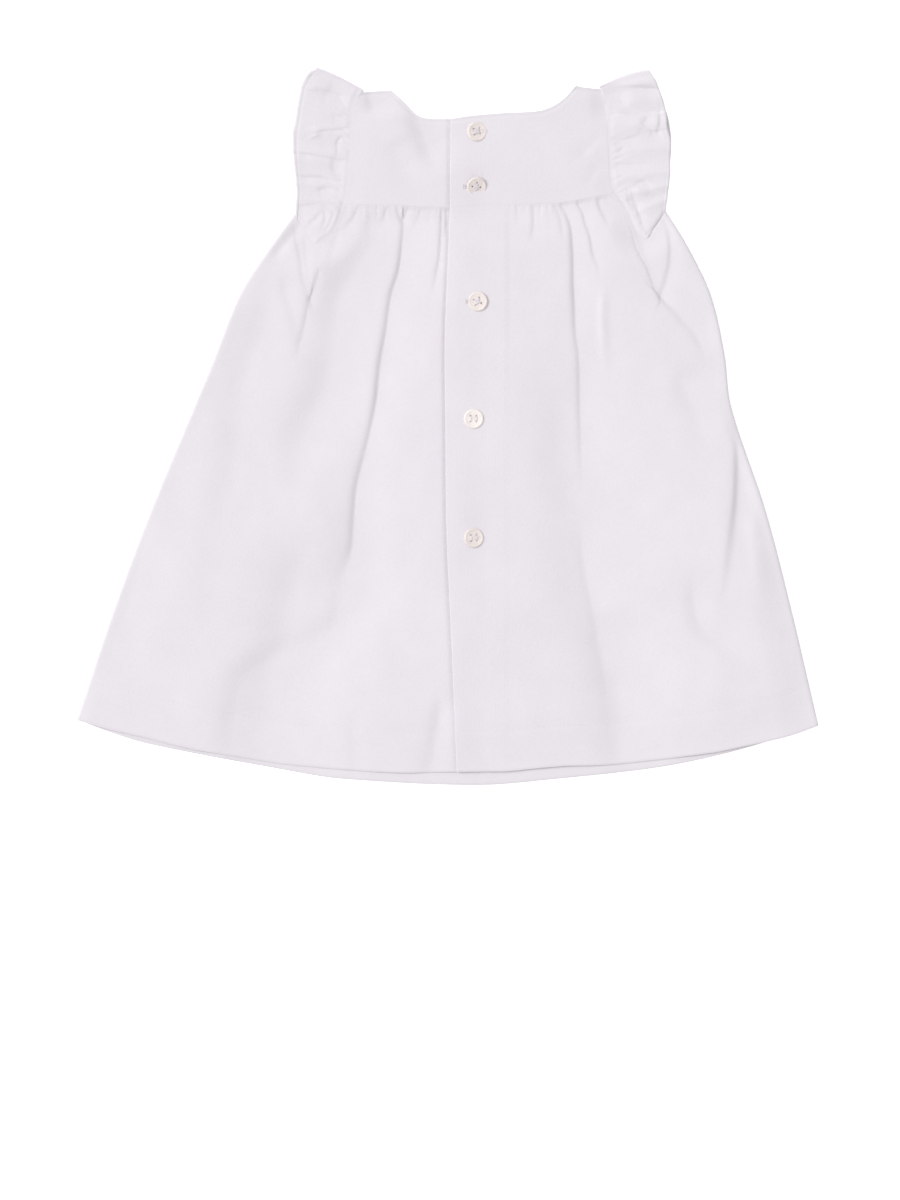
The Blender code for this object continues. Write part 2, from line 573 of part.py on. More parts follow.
def buttons(finish, collection, cutters):
    for number, button in enumerate(BUTTONS, start=1):
        piece = add_object(f"button_{number}", button_mesh(finish), finish, collection)
        under = [(button.x, button.y)]
        for eighth in range(8):
            angle = eighth * pi / 4
            under.append((button.x + BUTTON_RADIUS * cos(angle), button.y + BUTTON_RADIUS * sin(angle)))
        seat = max(panel_top(x, y) for x, y in under) + GAP
        piece.location = Vector((button.x, button.y, seat)) * MM
        piece.rotation_euler.z = button.turn * pi / 180
        cutter = hole_cutter(cutters)
        cutter.name = f"holes_of_button_{number}"
        cutter.location = piece.location
        cutter.rotation_euler = piece.rotation_euler
        cut = piece.modifiers.new("holes", "BOOLEAN")
        cut.operation = "DIFFERENCE"
        cut.object = cutter


def main():
    for old in list(bpy.data.objects):
        bpy.data.objects.remove(old)
    dress = bpy.data.collections.new("toddler_dress")
    cutters = bpy.data.collections.new("cutters")
    bpy.context.scene.collection.children.link(dress)
    bpy.context.scene.collection.children.link(cutters)
    finishes = {
        name: material(name, colour, roughness)
        for name, colour, roughness in (
            ("yoke_cotton", (0.80, 0.76, 0.81), 0.92),
            ("skirt_cotton", (0.82, 0.78, 0.83), 0.92),
            ("ruffle_cotton", (0.81, 0.77, 0.82), 0.92),
            ("button_resin", (0.86, 0.82, 0.80), 0.35),
        )
    }
    front_pieces(finishes["skirt_cotton"], dress)
    back_yokes(finishes["yoke_cotton"], dress)
    back_skirts(finishes["skirt_cotton"], dress)
    ruffles(finishes["ruffle_cotton"], dress)
    buttons(finishes["button_resin"], dress, cutters)
    bpy.context.view_layer.update()


main()
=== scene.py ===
# A toddler dress of brushed white cotton, laid flat with its buttoned back up.
# The tables are in mm, in the frame's own axes: +Y to the neck, +Z up.

from collections import namedtuple
from math import cos, pi, radians, sin

import bmesh
import bpy
import numpy as np
from mathutils import Matrix, Vector
from mathutils.bvhtree import BVHTree


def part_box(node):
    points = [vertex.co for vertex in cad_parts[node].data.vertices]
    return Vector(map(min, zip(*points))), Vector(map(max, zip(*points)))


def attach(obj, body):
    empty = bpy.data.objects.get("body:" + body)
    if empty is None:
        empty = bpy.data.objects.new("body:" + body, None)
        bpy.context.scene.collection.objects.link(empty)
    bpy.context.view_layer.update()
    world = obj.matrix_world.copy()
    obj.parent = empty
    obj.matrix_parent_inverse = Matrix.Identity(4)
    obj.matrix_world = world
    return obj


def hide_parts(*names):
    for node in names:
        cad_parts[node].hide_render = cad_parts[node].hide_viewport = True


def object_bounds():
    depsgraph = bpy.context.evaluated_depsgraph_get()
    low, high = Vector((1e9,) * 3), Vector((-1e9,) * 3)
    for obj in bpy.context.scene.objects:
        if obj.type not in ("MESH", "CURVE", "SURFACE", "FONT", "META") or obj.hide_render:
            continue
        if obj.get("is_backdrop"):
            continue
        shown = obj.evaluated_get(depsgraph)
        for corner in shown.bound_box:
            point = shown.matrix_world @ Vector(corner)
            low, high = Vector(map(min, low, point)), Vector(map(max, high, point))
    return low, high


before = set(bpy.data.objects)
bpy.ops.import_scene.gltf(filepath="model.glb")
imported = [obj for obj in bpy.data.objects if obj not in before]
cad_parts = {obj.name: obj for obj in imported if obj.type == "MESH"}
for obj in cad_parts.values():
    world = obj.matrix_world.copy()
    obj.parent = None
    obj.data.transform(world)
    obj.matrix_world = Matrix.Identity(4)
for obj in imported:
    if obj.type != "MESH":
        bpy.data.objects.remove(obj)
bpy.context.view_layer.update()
print("frame loaded")

mm = 0.001
cloth = {
    "wall": 1.4,  # wall of the solids that the sheets lie on
    "gap": 0.3,  # between the solids
    "sheet": 0.8,  # thickness of the sheets that show
    "room": 1.2,  # how far a fold can sink below the level of the solids
    "lapRise": 1.05,  # of the right back over the left at the opening
    "lapFall": (3, 24),  # x between which the two layers sink back to one level
    "lapSink": 0.8,  # share of lapRise that both have sunk by then
    "underlap": 33,  # x of the hidden edge of the left back
    "edgeHold": 5,  # how soon the columns of a panel let go of its side edges
}
backLevel = 2 * cloth["wall"] + cloth["gap"]  # of the back's top, without its air and folds

# Outlines, as points that a smooth line runs through
shoulderLeft = [(-52, 201), (-43, 201.8), (-33.5, 202)]
shoulderRight = [(77, 204.8), (85, 203.8), (93, 203)]
neckLeft = [(-33.5, 202), (-25, 194), (-19, 188), (-12.8, 185.5), (1.9, 185)]
neckLap = [(1.9, 185), (17, 187), (33, 188.3)]
neckRight = [(33, 188.3), (54.5, 189.5), (62, 191.8), (69.5, 196.5), (77, 204.8)]
neckFront = [(-33.5, 202), (-27, 183), (-12, 167), (22, 159), (54, 167), (69.5, 184), (77, 204.8)]
armholeLeft = [(-52, 201), (-56.8, 190.7), (-57.7, 170), (-59.9, 146.7), (-61.4, 134)]
armholeRight = [(93, 203), (95.2, 193.7), (96.8, 171), (97.9, 148.7), (100, 139.8)]
underarmLeft = [(-61.4, 134), (-66.5, 118.5), (-71, 112.8), (-77.6, 110.2), (-84.5, 117.4), (-91.5, 127)]
underarmRight = [(100, 139.8), (108.1, 127.5), (113.4, 115.5), (118.6, 113), (124, 119), (130.6, 129)]
yokeSeamLeft = [(-61.4, 134), (-46, 133.2), (-30.2, 132.9), (-14.6, 131.9), (1.6, 131.7)]
yokeSeamLap = [(1.6, 131.7), (33, 133.4)]
yokeSeamRight = [(33, 133.4), (64.6, 134.1), (78, 135.9), (88.8, 138), (100, 139.8)]
openingYoke = [(1.9, 185), (1.6, 158), (1.6, 131.7)]
openingSkirt = [
    (1.6, 131.7), (0.4, 102.9), (-1.5, 52), (-1.2, 0), (-0.5, -63.1), (2.5, -132.7), (5.6, -207.3),
]
sideLeft = [
    (-91.5, 127), (-106.4, 108.3), (-125, 79.5), (-142.4, 36.3), (-178.4, -50.1), (-200, -107.7),
    (-223, -176.3),
]
sideRight = [
    (130.6, 129), (144.4, 108.3), (158.2, 79.5), (166.5, 44), (170.6, 12), (191.2, -50.1),
    (206.2, -107.7), (223, -179.5),
]
hemSideLeft = [(-223, -176.3), (-203.3, -181.7), (-178.9, -187.3), (-155, -193.2), (-122, -199)]
hemLeft = [(-122, -199), (-94.7, -203.1), (-33.5, -207.7), (5.6, -207.3)]
hemLap = [(5.6, -207.3), (36, -207)]
hemRight = [(36, -207), (69.2, -203.9), (96.7, -203.1), (127.3, -200), (146, -197.6)]
hemSideRight = [(146, -197.6), (162, -195.4), (173.2, -193.1), (203.8, -186.2), (223, -179.5)]
hemFront = [
    (-223, -176.3), (-203.3, -183.6), (-178.9, -190.8), (-94.7, -206.9), (-64.1, -211.5), (17.2, -215.3),
    (66.1, -211.5), (127.3, -204.6), (173.2, -194.8), (223, -179.5),
]
ruffleEdgeLeft = [
    (-91.5, 128), (-90.7, 141), (-91.9, 155), (-92.9, 171), (-91.1, 187), (-88.3, 203), (-85.6, 209.2),
    (-82.8, 213), (-79.4, 214.4),
]
ruffleEdgeRight = [
    (131, 130.6), (132.2, 140), (133.6, 155), (134.4, 174), (131.6, 189.5), (126.8, 204), (122, 212.6),
]

# A fold is a ridge (height above 0) or a trough. west and east are its widths on the two sides
# of its path, seen on the way down, and grow by spread to the end. start and end are its strength
# there, and sharp is 2 for a soft fold and near 1 for a pressed crease. Most creases are steps:
# the cloth drops over a narrow west side and comes back up over a wide east one.
Fold = namedtuple("Fold", "height west east spread start end sharp path")


def smoothStep(value):
    value = np.clip(value, 0, 1)
    return value * value * (3 - 2 * value)


def bell(distance, width):
    return np.exp(-((distance / width) ** 2))


def stretches(points):
    # the lengths of a line's straight pieces, and how far along it each of its points lies
    gaps = np.hypot(*np.diff(points, axis=0).T)
    return gaps, np.concatenate(([0], np.cumsum(gaps)))


def curveAt(points, shares):
    # the points at shares of the way along a smooth line through points
    points = np.array(points, float)
    gaps, knots = stretches(points)
    order = np.arange(len(points))
    high, low = np.minimum(order + 1, order[-1]), np.maximum(order - 1, 0)
    slopes = (points[high] - points[low]) / (knots[high] - knots[low])[:, None]
    here = np.asarray(shares, float) * knots[-1]
    step = np.clip(np.searchsorted(knots[1:], here), 0, order[-1] - 1)
    span = gaps[step][..., None]
    t = ((here - knots[step]) / gaps[step])[..., None]
    return (
        (2 * t**3 - 3 * t**2 + 1) * points[step]
        + (t**3 - 2 * t**2 + t) * span * slopes[step]
        + (3 * t**2 - 2 * t**3) * points[step + 1]
        + (t**3 - t**2) * span * slopes[step + 1]
    )


def edgeAt(runs, across):
    # an edge made of runs, each with its share of the columns
    at = across * sum(columns for points, columns in runs)
    made = np.zeros(across.shape + (2,))
    start = 0
    for points, columns in runs:
        inside = (at >= start - 1e-9) & (at <= start + columns + 1e-9)
        made[inside] = curveAt(points, np.clip((at[inside] - start) / columns, 0, 1))
        start += columns
    return made


def bow(edge, shares):
    # how far an edge bows from the straight line between its ends
    first, last = np.array(edge[0]), np.array(edge[-1])
    return curveAt(edge, shares) - (first + (last - first) * shares[:, None])


def panelPoints(top, bottom, left, right, down, across):
    share = down[:, None, None]
    high, low = edgeAt(top, across), edgeAt(bottom, across)
    leftHold = ((1 - across) ** cloth["edgeHold"])[..., None]
    rightHold = (across ** cloth["edgeHold"])[..., None]
    lean = leftHold * bow(left, down)[:, None, :] + rightHold * bow(right, down)[:, None, :]
    return high + (low - high) * share + lean


def panelPlan(s, top, bottom, left, right):
    # plan points of a panel, with extra rows and columns near its edges so that they can be rounded
    rows, columns = s["rows"], s["columns"]
    steps, sideSteps = np.array(s["rim"]), np.array(s.get("sideRim", s["rim"]))
    length = abs(left[0][1] - left[-1][1])
    margin = steps[-1] * 1.3 / length
    middle = np.linspace(0, 1, rows + 1) ** s.get("closerAtTop", 1)
    middle = middle[(middle > margin) & (middle < 1 - margin)]
    down = np.concatenate((steps / length, middle, 1 - steps[::-1] / length))
    near = np.array([0, 0.004])
    across = np.zeros((len(down), columns + 1))
    for row, share in enumerate(down):
        rates = []
        for sample in (near, 1 - near):
            pair = panelPoints(top, bottom, left, right, np.array([share]), sample[None])[0]
            rates.append(np.hypot(*(pair[1] - pair[0])) / near[1])
        first, last = sideSteps / rates[0], 1 - sideSteps[::-1] / rates[1]
        inner = np.linspace(first[-1], last[0], columns + 3 - 2 * len(sideSteps))[1:-1]
        across[row] = np.concatenate((first, inner, last))
    return panelPoints(top, bottom, left, right, down, across)


def alongPath(path, x, y):
    # distance from a path, the share of the way along it, and whether a point is east of it
    best = np.full(x.shape, 1e9)
    share = np.zeros(x.shape)
    east = np.zeros(x.shape, bool)
    lengths = stretches(path)[0]
    walked = 0
    for a, b, length in zip(path, path[1:], lengths):
        d = (b - a) / length
        on = np.clip((x - a[0]) * d[0] + (y - a[1]) * d[1], 0, length)
        away = np.hypot(x - a[0] - d[0] * on, y - a[1] - d[1] * on)
        closer = away < best
        best = np.where(closer, away, best)
        share = np.where(closer, (walked + on) / lengths.sum(), share)
        east = np.where(closer, d[0] * (y - a[1]) - d[1] * (x - a[0]) > 0, east)
        walked += length
    return best, share, east


def foldField(folds, x, y):
    # the height of all the folds together
    total = np.zeros(x.shape)
    for fold in folds:
        path = curveAt(fold.path, np.linspace(0, 1, 8 * (len(fold.path) - 1) + 1))
        reach = 2.6 * max(fold.west, fold.east) * max(1, fold.spread) + 2
        low, high = path.min(0) - reach, path.max(0) + reach
        near = (x > low[0]) & (x < high[0]) & (y > low[1]) & (y < high[1])
        if not near.any():
            continue
        best, share, east = alongPath(path, x[near], y[near])
        width = np.where(east, fold.east, fold.west) * (1 + (fold.spread - 1) * share)
        strength = fold.start + (1 - fold.start) * smoothStep(share / 0.25)
        strength = strength * (fold.end + (1 - fold.end) * smoothStep((1 - share) / 0.45))
        soft = 0.22 / width  # rounds the bottom of a sharp crease over a thread or two
        profile = np.exp(soft**fold.sharp - ((best / width) ** 2 + soft**2) ** (fold.sharp / 2))
        total[near] += fold.height * strength * profile
    return total


def undulation(x, y, seed, count, shortest, longest, height):
    # a slow unevenness that any laid cloth has, as a sum of waves in many directions
    draw = np.random.default_rng(seed)
    total = np.zeros(x.shape)
    for _ in range(count):
        length = draw.uniform(shortest, longest)
        turn = draw.uniform(0, pi)
        phase = draw.uniform(0, 2 * pi)
        total += np.sin(2 * pi * (x * cos(turn) + y * sin(turn)) / length + phase)
    return total * height / np.sqrt(count)


def xOfEdge(points, y):
    line = curveAt(points, np.linspace(0, 1, 80))
    order = np.argsort(line[:, 1])
    return np.interp(y, line[order, 1], line[order, 0])


def yOfSeam(x):
    seam = np.array(yokeSeamLeft + yokeSeamLap[1:] + yokeSeamRight[1:])
    return np.interp(x, seam[:, 0], seam[:, 1])


def edgeDrop(distance, radius, drop):
    # a quarter round over the last stretch before an edge
    k = np.clip(1 - distance / radius, 0, 1)
    return drop * (1 - np.sqrt(1 - k * k))


def distances(plan):
    # how far each point lies from the four edges of its grid
    edges = {"top": plan[:1], "bottom": plan[-1:], "left": plan[:, :1], "right": plan[:, -1:]}
    return {side: np.hypot(*(plan - edge).transpose(2, 0, 1)) for side, edge in edges.items()}


def addPiece(name, mesh, angle, material):
    mesh.shade_smooth()
    mesh.set_sharp_from_angle(angle=radians(angle))
    mesh.materials.append(material)
    piece = bpy.data.objects.new(name, mesh)
    bpy.context.scene.collection.objects.link(piece)
    return piece


def sheetMesh(node, kind, upper, lower, flat):
    # a closed sheet between two grids of points; flat is the cut's width and length in mm
    name = f"{node}_cloth"
    rows, columns = upper.shape[0] - 1, upper.shape[1] - 1
    bm = bmesh.new()
    bmesh.ops.create_grid(bm, x_segments=columns, y_segments=rows, size=1)
    base = bm.faces[:]
    bmesh.ops.extrude_face_region(bm, geom=base, use_keep_orig=True)
    bmesh.ops.reverse_faces(bm, faces=base)
    mesh = bpy.data.meshes.new(name)
    bm.to_mesh(mesh)
    bm.free()
    count = (rows + 1) * (columns + 1)
    spots = np.zeros(6 * count)
    mesh.vertices.foreach_get("co", spots)
    spots = spots.reshape(-1, 3)
    column = np.rint((spots[:, 0] + 1) / 2 * columns).astype(int)
    row = np.rint((1 - spots[:, 1]) / 2 * rows).astype(int)
    over = np.arange(2 * count) >= count
    points = np.where(over[:, None], upper[row, column], lower[row, column])
    mesh.vertices.foreach_set("co", (points * mm).ravel())
    layer = mesh.uv_layers.new(name="grain")
    corners = np.zeros(len(mesh.loops), np.int32)
    mesh.loops.foreach_get("vertex_index", corners)
    grain = np.stack((column / columns * flat[0], (1 - row / rows) * flat[1]), axis=1) * mm
    layer.uv.foreach_set("vector", grain[corners].astype(np.float32).ravel())
    mesh.update()
    fixer = bmesh.new()
    fixer.from_mesh(mesh)
    bmesh.ops.recalc_face_normals(fixer, faces=fixer.faces[:])
    fixer.to_mesh(mesh)
    fixer.free()
    piece = addPiece(name, mesh, 50, cottons[kind])
    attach(piece, "root")
    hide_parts(node)
    return piece


def clothPiece(node, kind, plan, top, rolls, flat, thickness=cloth["sheet"]):
    # the sheet under a height field, with its edges rounded; rolls gives (radius, drop) for each edge
    away = distances(plan)
    thin = np.zeros(top.shape)
    top = top.copy()
    for side, (radius, drop) in rolls.items():
        top -= edgeDrop(away[side], radius, drop)
        thin = np.maximum(thin, edgeDrop(away[side], thickness, 0.9))
    bottom = np.maximum(top - thickness * (1 - thin), 0)
    top = np.maximum(top, bottom + 0.06)
    upper, lower = (np.concatenate((plan, z[..., None]), axis=2) for z in (top, bottom))
    return sheetMesh(node, kind, upper, lower, flat)


def tubeMesh(bm, points, radius, sides):
    # one tube of thread through points, closed at its ends
    points = [Vector(point) for point in points]
    rings = []
    for index, point in enumerate(points):
        ahead = points[min(index + 1, len(points) - 1)] - points[max(index - 1, 0)]
        turn = ahead.to_track_quat("Z", "Y").to_matrix()
        taper = 0.55 if index in (0, len(points) - 1) else 1
        rings.append([
            bm.verts.new(point + turn @ Vector((cos(a) * radius * taper, sin(a) * radius * taper, 0)))
            for a in (2 * pi * k / sides for k in range(sides))
        ])
    for a, b in zip(rings, rings[1:]):
        for k in range(sides):
            bm.faces.new((a[k], a[(k + 1) % sides], b[(k + 1) % sides], b[k]))
    bm.faces.new(rings[0][::-1])
    bm.faces.new(rings[-1])


def finishMesh(name, bm, material, angle=60):
    bmesh.ops.recalc_face_normals(bm, faces=bm.faces[:])
    mesh = bpy.data.meshes.new(name)
    bm.to_mesh(mesh)
    bm.free()
    mesh.transform(Matrix.Scale(mm, 4))
    return addPiece(name, mesh, angle, material)


def surfaceOf(*pieces):
    # looks up the top of finished sheets, so that what lies on them or beside them meets it
    bpy.context.view_layer.update()
    graph = bpy.context.evaluated_depsgraph_get()
    trees = [BVHTree.FromObject(piece, graph) for piece in pieces]
    down = Vector((0, 0, -1))

    def at(x, y):
        hits = [tree.ray_cast(Vector((x * mm, y * mm, 0.05)), down)[0] for tree in trees]
        return max((hit.z / mm for hit in hits if hit), default=4)

    return at


def linear(hexColour):
    # an sRGB hex colour as the linear values that the shader takes
    made = []
    for start in (1, 3, 5):
        c = int(hexColour[start:start + 2], 16) / 255
        made.append(c / 12.92 if c <= 0.04045 else ((c + 0.055) / 1.055) ** 2.4)
    return (*made, 1)


def addNode(tree, kind, settings=None, links=None):
    node = tree.nodes.new(kind)
    for key, value in (settings or {}).items():
        if key == "tones":
            for element, (position, colour) in zip(node.color_ramp.elements, value):
                element.position = position
                element.color = linear(colour)
        elif key[0].islower():
            setattr(node, key, value)
        else:
            node.inputs[key].default_value = value
    for key, source in (links or {}).items():
        tree.links.new(source, node.inputs[key])
    return node


def startMaterial(name, settings):
    # a material with its shader's own settings, and the place that its patterns follow
    made = bpy.data.materials.new(name)
    made.use_nodes = True
    tree = made.node_tree
    shader = tree.nodes["Principled BSDF"]
    for key, value in settings.items():
        shader.inputs[key].default_value = value
    place = addNode(tree, "ShaderNodeTexCoord").outputs["Object"]
    return made, tree, shader.inputs, place


cotton = {
    "napGrain": 1.5,  # mm, the clumps of raised fibre on brushed cotton
    "napHeight": 0.10,  # mm
    "clouds": 16,  # mm, slow change of tone where the nap lies another way
    "cloudShare": 0.45,
    "threads": 0.9,  # mm; the real threads are 0.35 mm apart, too fine to show
    "threadHeight": 0.035,  # mm
    "shader": {
        "Roughness": 0.93,
        "IOR": 1.47,  # cellulose fibre
        "Specular IOR Level": 0.3,
        "Sheen Weight": 0.18,
        "Sheen Roughness": 0.6,
    },
}


def brushedCotton(name, light, shade):
    # plain woven cotton with a raised nap: dead matt, its weave half hidden by soft fibre
    s = cotton
    made, tree, shader, place = startMaterial(name, s["shader"])
    grain = addNode(tree, "ShaderNodeUVMap", {"uv_map": "grain"}).outputs["UV"]
    nap = addNode(tree, "ShaderNodeTexNoise", {"Scale": 1 / (s["napGrain"] * mm), "Detail": 3,
                  "Roughness": 0.6}, {"Vector": place}).outputs["Fac"]
    clouds = addNode(tree, "ShaderNodeTexNoise", {"Scale": 1 / (s["clouds"] * mm), "Detail": 4,
                     "Roughness": 0.55}, {"Vector": place}).outputs["Fac"]
    tone = addNode(tree, "ShaderNodeMix", {"data_type": "FLOAT", "Factor": s["cloudShare"]},
                   {"A": nap, "B": clouds})
    ramp = addNode(tree, "ShaderNodeValToRGB", {"tones": [(0.34, shade), (0.66, light)]},
                   {"Fac": tone.outputs["Result"]})
    tree.links.new(ramp.outputs["Color"], shader["Base Color"])
    weave = addNode(tree, "ShaderNodeMath", {"operation": "MULTIPLY"})
    for index, direction in enumerate("XY"):
        wave = addNode(tree, "ShaderNodeTexWave", {"bands_direction": direction, "Distortion": 1.2,
                       "Scale": 0.314 / (s["threads"] * mm), "Detail": 1}, {"Vector": grain})
        tree.links.new(wave.outputs["Fac"], weave.inputs[index])
    weaveBump = addNode(tree, "ShaderNodeBump", {"Strength": 1, "Distance": s["threadHeight"] * mm},
                        {"Height": weave.outputs[0]})
    napBump = addNode(tree, "ShaderNodeBump", {"Strength": 1, "Distance": s["napHeight"] * mm},
                      {"Height": nap, "Normal": weaveBump.outputs["Normal"]})
    tree.links.new(napBump.outputs["Normal"], shader["Normal"])
    return made


def sewingThread(name, shade, light):
    # spun polyester thread: a little smoother than the cloth, so stitches catch the light
    made, tree, shader, place = startMaterial(name, {"Roughness": 0.6, "IOR": 1.55})
    fibre = addNode(tree, "ShaderNodeTexNoise", {"Scale": 1 / (0.3 * mm), "Detail": 2},
                    {"Vector": place}).outputs["Fac"]
    ramp = addNode(tree, "ShaderNodeValToRGB", {"tones": [(0, shade), (1, light)]}, {"Fac": fibre})
    tree.links.new(ramp.outputs["Color"], shader["Base Color"])
    bump = addNode(tree, "ShaderNodeBump", {"Strength": 0.6, "Distance": 0.05 * mm}, {"Height": fibre})
    tree.links.new(bump.outputs["Normal"], shader["Normal"])
    return made


def pearlResin(name, shade, light):
    # cast polyester resin with pearl flake, tumbled smooth: cloudy off-white with a soft gloss
    settings = {"IOR": 1.56, "Coat Weight": 0.04, "Coat Roughness": 0.3}
    made, tree, shader, place = startMaterial(name, settings)
    clouds = addNode(tree, "ShaderNodeTexNoise", {"Scale": 1 / (3.5 * mm), "Detail": 3,
                     "Distortion": 1.5}, {"Vector": place}).outputs["Fac"]
    tones = [(0.35, shade), (0.65, light)]
    ramp = addNode(tree, "ShaderNodeValToRGB", {"tones": tones}, {"Fac": clouds})
    tree.links.new(ramp.outputs["Color"], shader["Base Color"])
    wear = addNode(tree, "ShaderNodeMapRange", {"To Min": 0.5, "To Max": 0.65}, {"Value": clouds})
    tree.links.new(wear.outputs["Result"], shader["Roughness"])
    return made


def slitShade(name, shade, light):
    # the inside of a buttonhole: the same cotton painted dark, as painted shade in the slit
    made, tree, shader, place = startMaterial(name, {"Roughness": 0.95})
    fibre = addNode(tree, "ShaderNodeTexNoise", {"Scale": 1 / (0.8 * mm)}, {"Vector": place})
    ramp = addNode(tree, "ShaderNodeValToRGB", {"tones": [(0, shade), (1, light)]},
                   {"Fac": fibre.outputs["Fac"]})
    tree.links.new(ramp.outputs["Color"], shader["Base Color"])
    return made


cottons = {
    "skirt": brushedCotton("brushedCottonSkirt", "#e0dbe1", "#dcd6dd"),
    "yoke": brushedCotton("brushedCottonYoke", "#dfdae0", "#dbd5dc"),
    "ruffle": brushedCotton("brushedCottonRuffle", "#e0dbe1", "#dbd5dc"),
}
whiteThread = sewingThread("whiteSewingThread", "#d8d2d8", "#e6e1e6")
buttonResin = pearlResin("pearlButtonResin", "#dcd2cf", "#e7deda")
paleResin = pearlResin("palePearlButtonResin", "#e6deda", "#efe8e5")
# painted shade: the dark colour of the buttonhole slits
buttonholeShade = slitShade("buttonholePaintedShade", "#8f868c", "#a89fa5")
print("materials made")


yoke = {
    "puff": 1.5,
    "roll": 12,  # width over which the back comes down at the armholes and shoulders
    "rows": 84,
    "columns": 96,
    "rim": [0, 0.15, 0.45, 1, 1.8],
    "turnDepth": 0.3,  # of the groove inside the turned edge of the neck and the shoulders
    "seamLevel": 1.9,  # mm, where the shoulder seams lie
    "unevenness": (8, 12, 25, 70, 0.12),  # seed, waves, shortest and longest, height
    "rolls": {  # radius and drop of its rounded edges
        "left": {"left": (0.4, 0.05), "right": (1.1, 0.5), "bottom": (0.4, 0.03)},
        "right": {"left": (0.6, 0.2), "right": (0.8, 0.25), "bottom": (0.4, 0.03)},
    },
}

yokeFolds = [
    Fold(-2.2, 7, 34, 1, 0.9, 0, 2, [(-20, 196), (-16.5, 184), (-12, 172), (-8, 161), (-5, 149)]),
    Fold(-0.6, 7, 16, 1, 0, 0, 2, [(-33, 174), (-26, 160), (-17, 147)]),
    Fold(-2.8, 5.6, 20, 1, 1, 0, 2, [(-44, 208), (-43.5, 199), (-44.5, 184)]),
    Fold(-1.9, 10, 60, 1, 1, 0, 2, [(96.5, 211), (96.5, 201), (97.5, 180)]),
    Fold(-0.8, 5, 1.4, 1, 0.8, 0.8, 1.6, [(-51, 199.4), (-34, 200.4)]),
    Fold(-0.9, 5, 1.4, 1, 0.8, 0.8, 1.6, [(77.5, 202.6), (93, 201.2)]),
    Fold(-0.4, 2.4, 5, 1.2, 0.3, 0, 1.6, [(78.5, 161), (86.7, 169.2), (95, 177)]),
    Fold(-0.3, 2, 4, 1.2, 0.3, 0, 1.6, [(85, 145), (87.7, 151.7), (91.8, 159)]),
]

# the left back dips under the edge of the right one
yokeUnderlap = [Fold(-0.45, 1.2, 9, 1, 0.8, 1, 1.6, [(1.3, 187), (1, 158), (1, 131)])]


def yokeRise(x, y):
    inside = np.minimum(x - xOfEdge(armholeLeft, y), xOfEdge(armholeRight, y) - x)
    inside = np.minimum(inside, shoulderLeft[0][1] - y + 6)
    folds = foldField(yokeFolds, x, y) + undulation(x, y, *yoke["unevenness"])
    return yoke["puff"] * (0.7 + 0.3 * smoothStep(inside / yoke["roll"])) + folds


skirt = {
    "puff": 3,  # air between the front and the back
    "yokePuff": 1.5,  # the same just below the yoke seam
    "puffRise": 30,  # height below the seam over which the skirt fills out
    "seamReach": 12,  # height over which it leaves the level of the yoke
    "sideRoll": 42,  # width over which the back comes down to the side seams
    "seamPinch": 3,  # height of cloth that the seam presses flat
    "hemSet": 0.45,  # share of the puff that is left at the hem
    "hemRise": 34,  # height over which it sinks to that
    "notchRise": 16,  # the same from the underarm
    "tuck": 1.4,  # of its top under the edge of the yoke, and of its underarm under the ruffle
    "rows": 205,
    "columns": 225,
    "rim": [0, 0.6, 0.95, 1.25, 1.9],  # mm from the top and bottom edges to the nearest rows
    "sideRim": [0, 0.15, 0.45, 1, 2],
    "sideRadius": 1.5,  # of the turn at the side seams
    "sideLevel": 2.4,  # mm, where that turn ends
    "closerAtTop": 1.25,  # so that the rows lie closer where the gathers are
    "unevenness": (3, 14, 45, 120, 0.3),
    "rumple": (5, 16, 14, 34, 0.05),
    "gathered": {"left": (-60, -4), "right": (38, 99)},  # x of the gathered stretches
    "rolls": {
        "left": {"right": (1.1, 0.5), "bottom": (1.1, 0.4)},
        "right": {"left": (0.6, 0.2), "bottom": (1.1, 0.4)},
    },
}

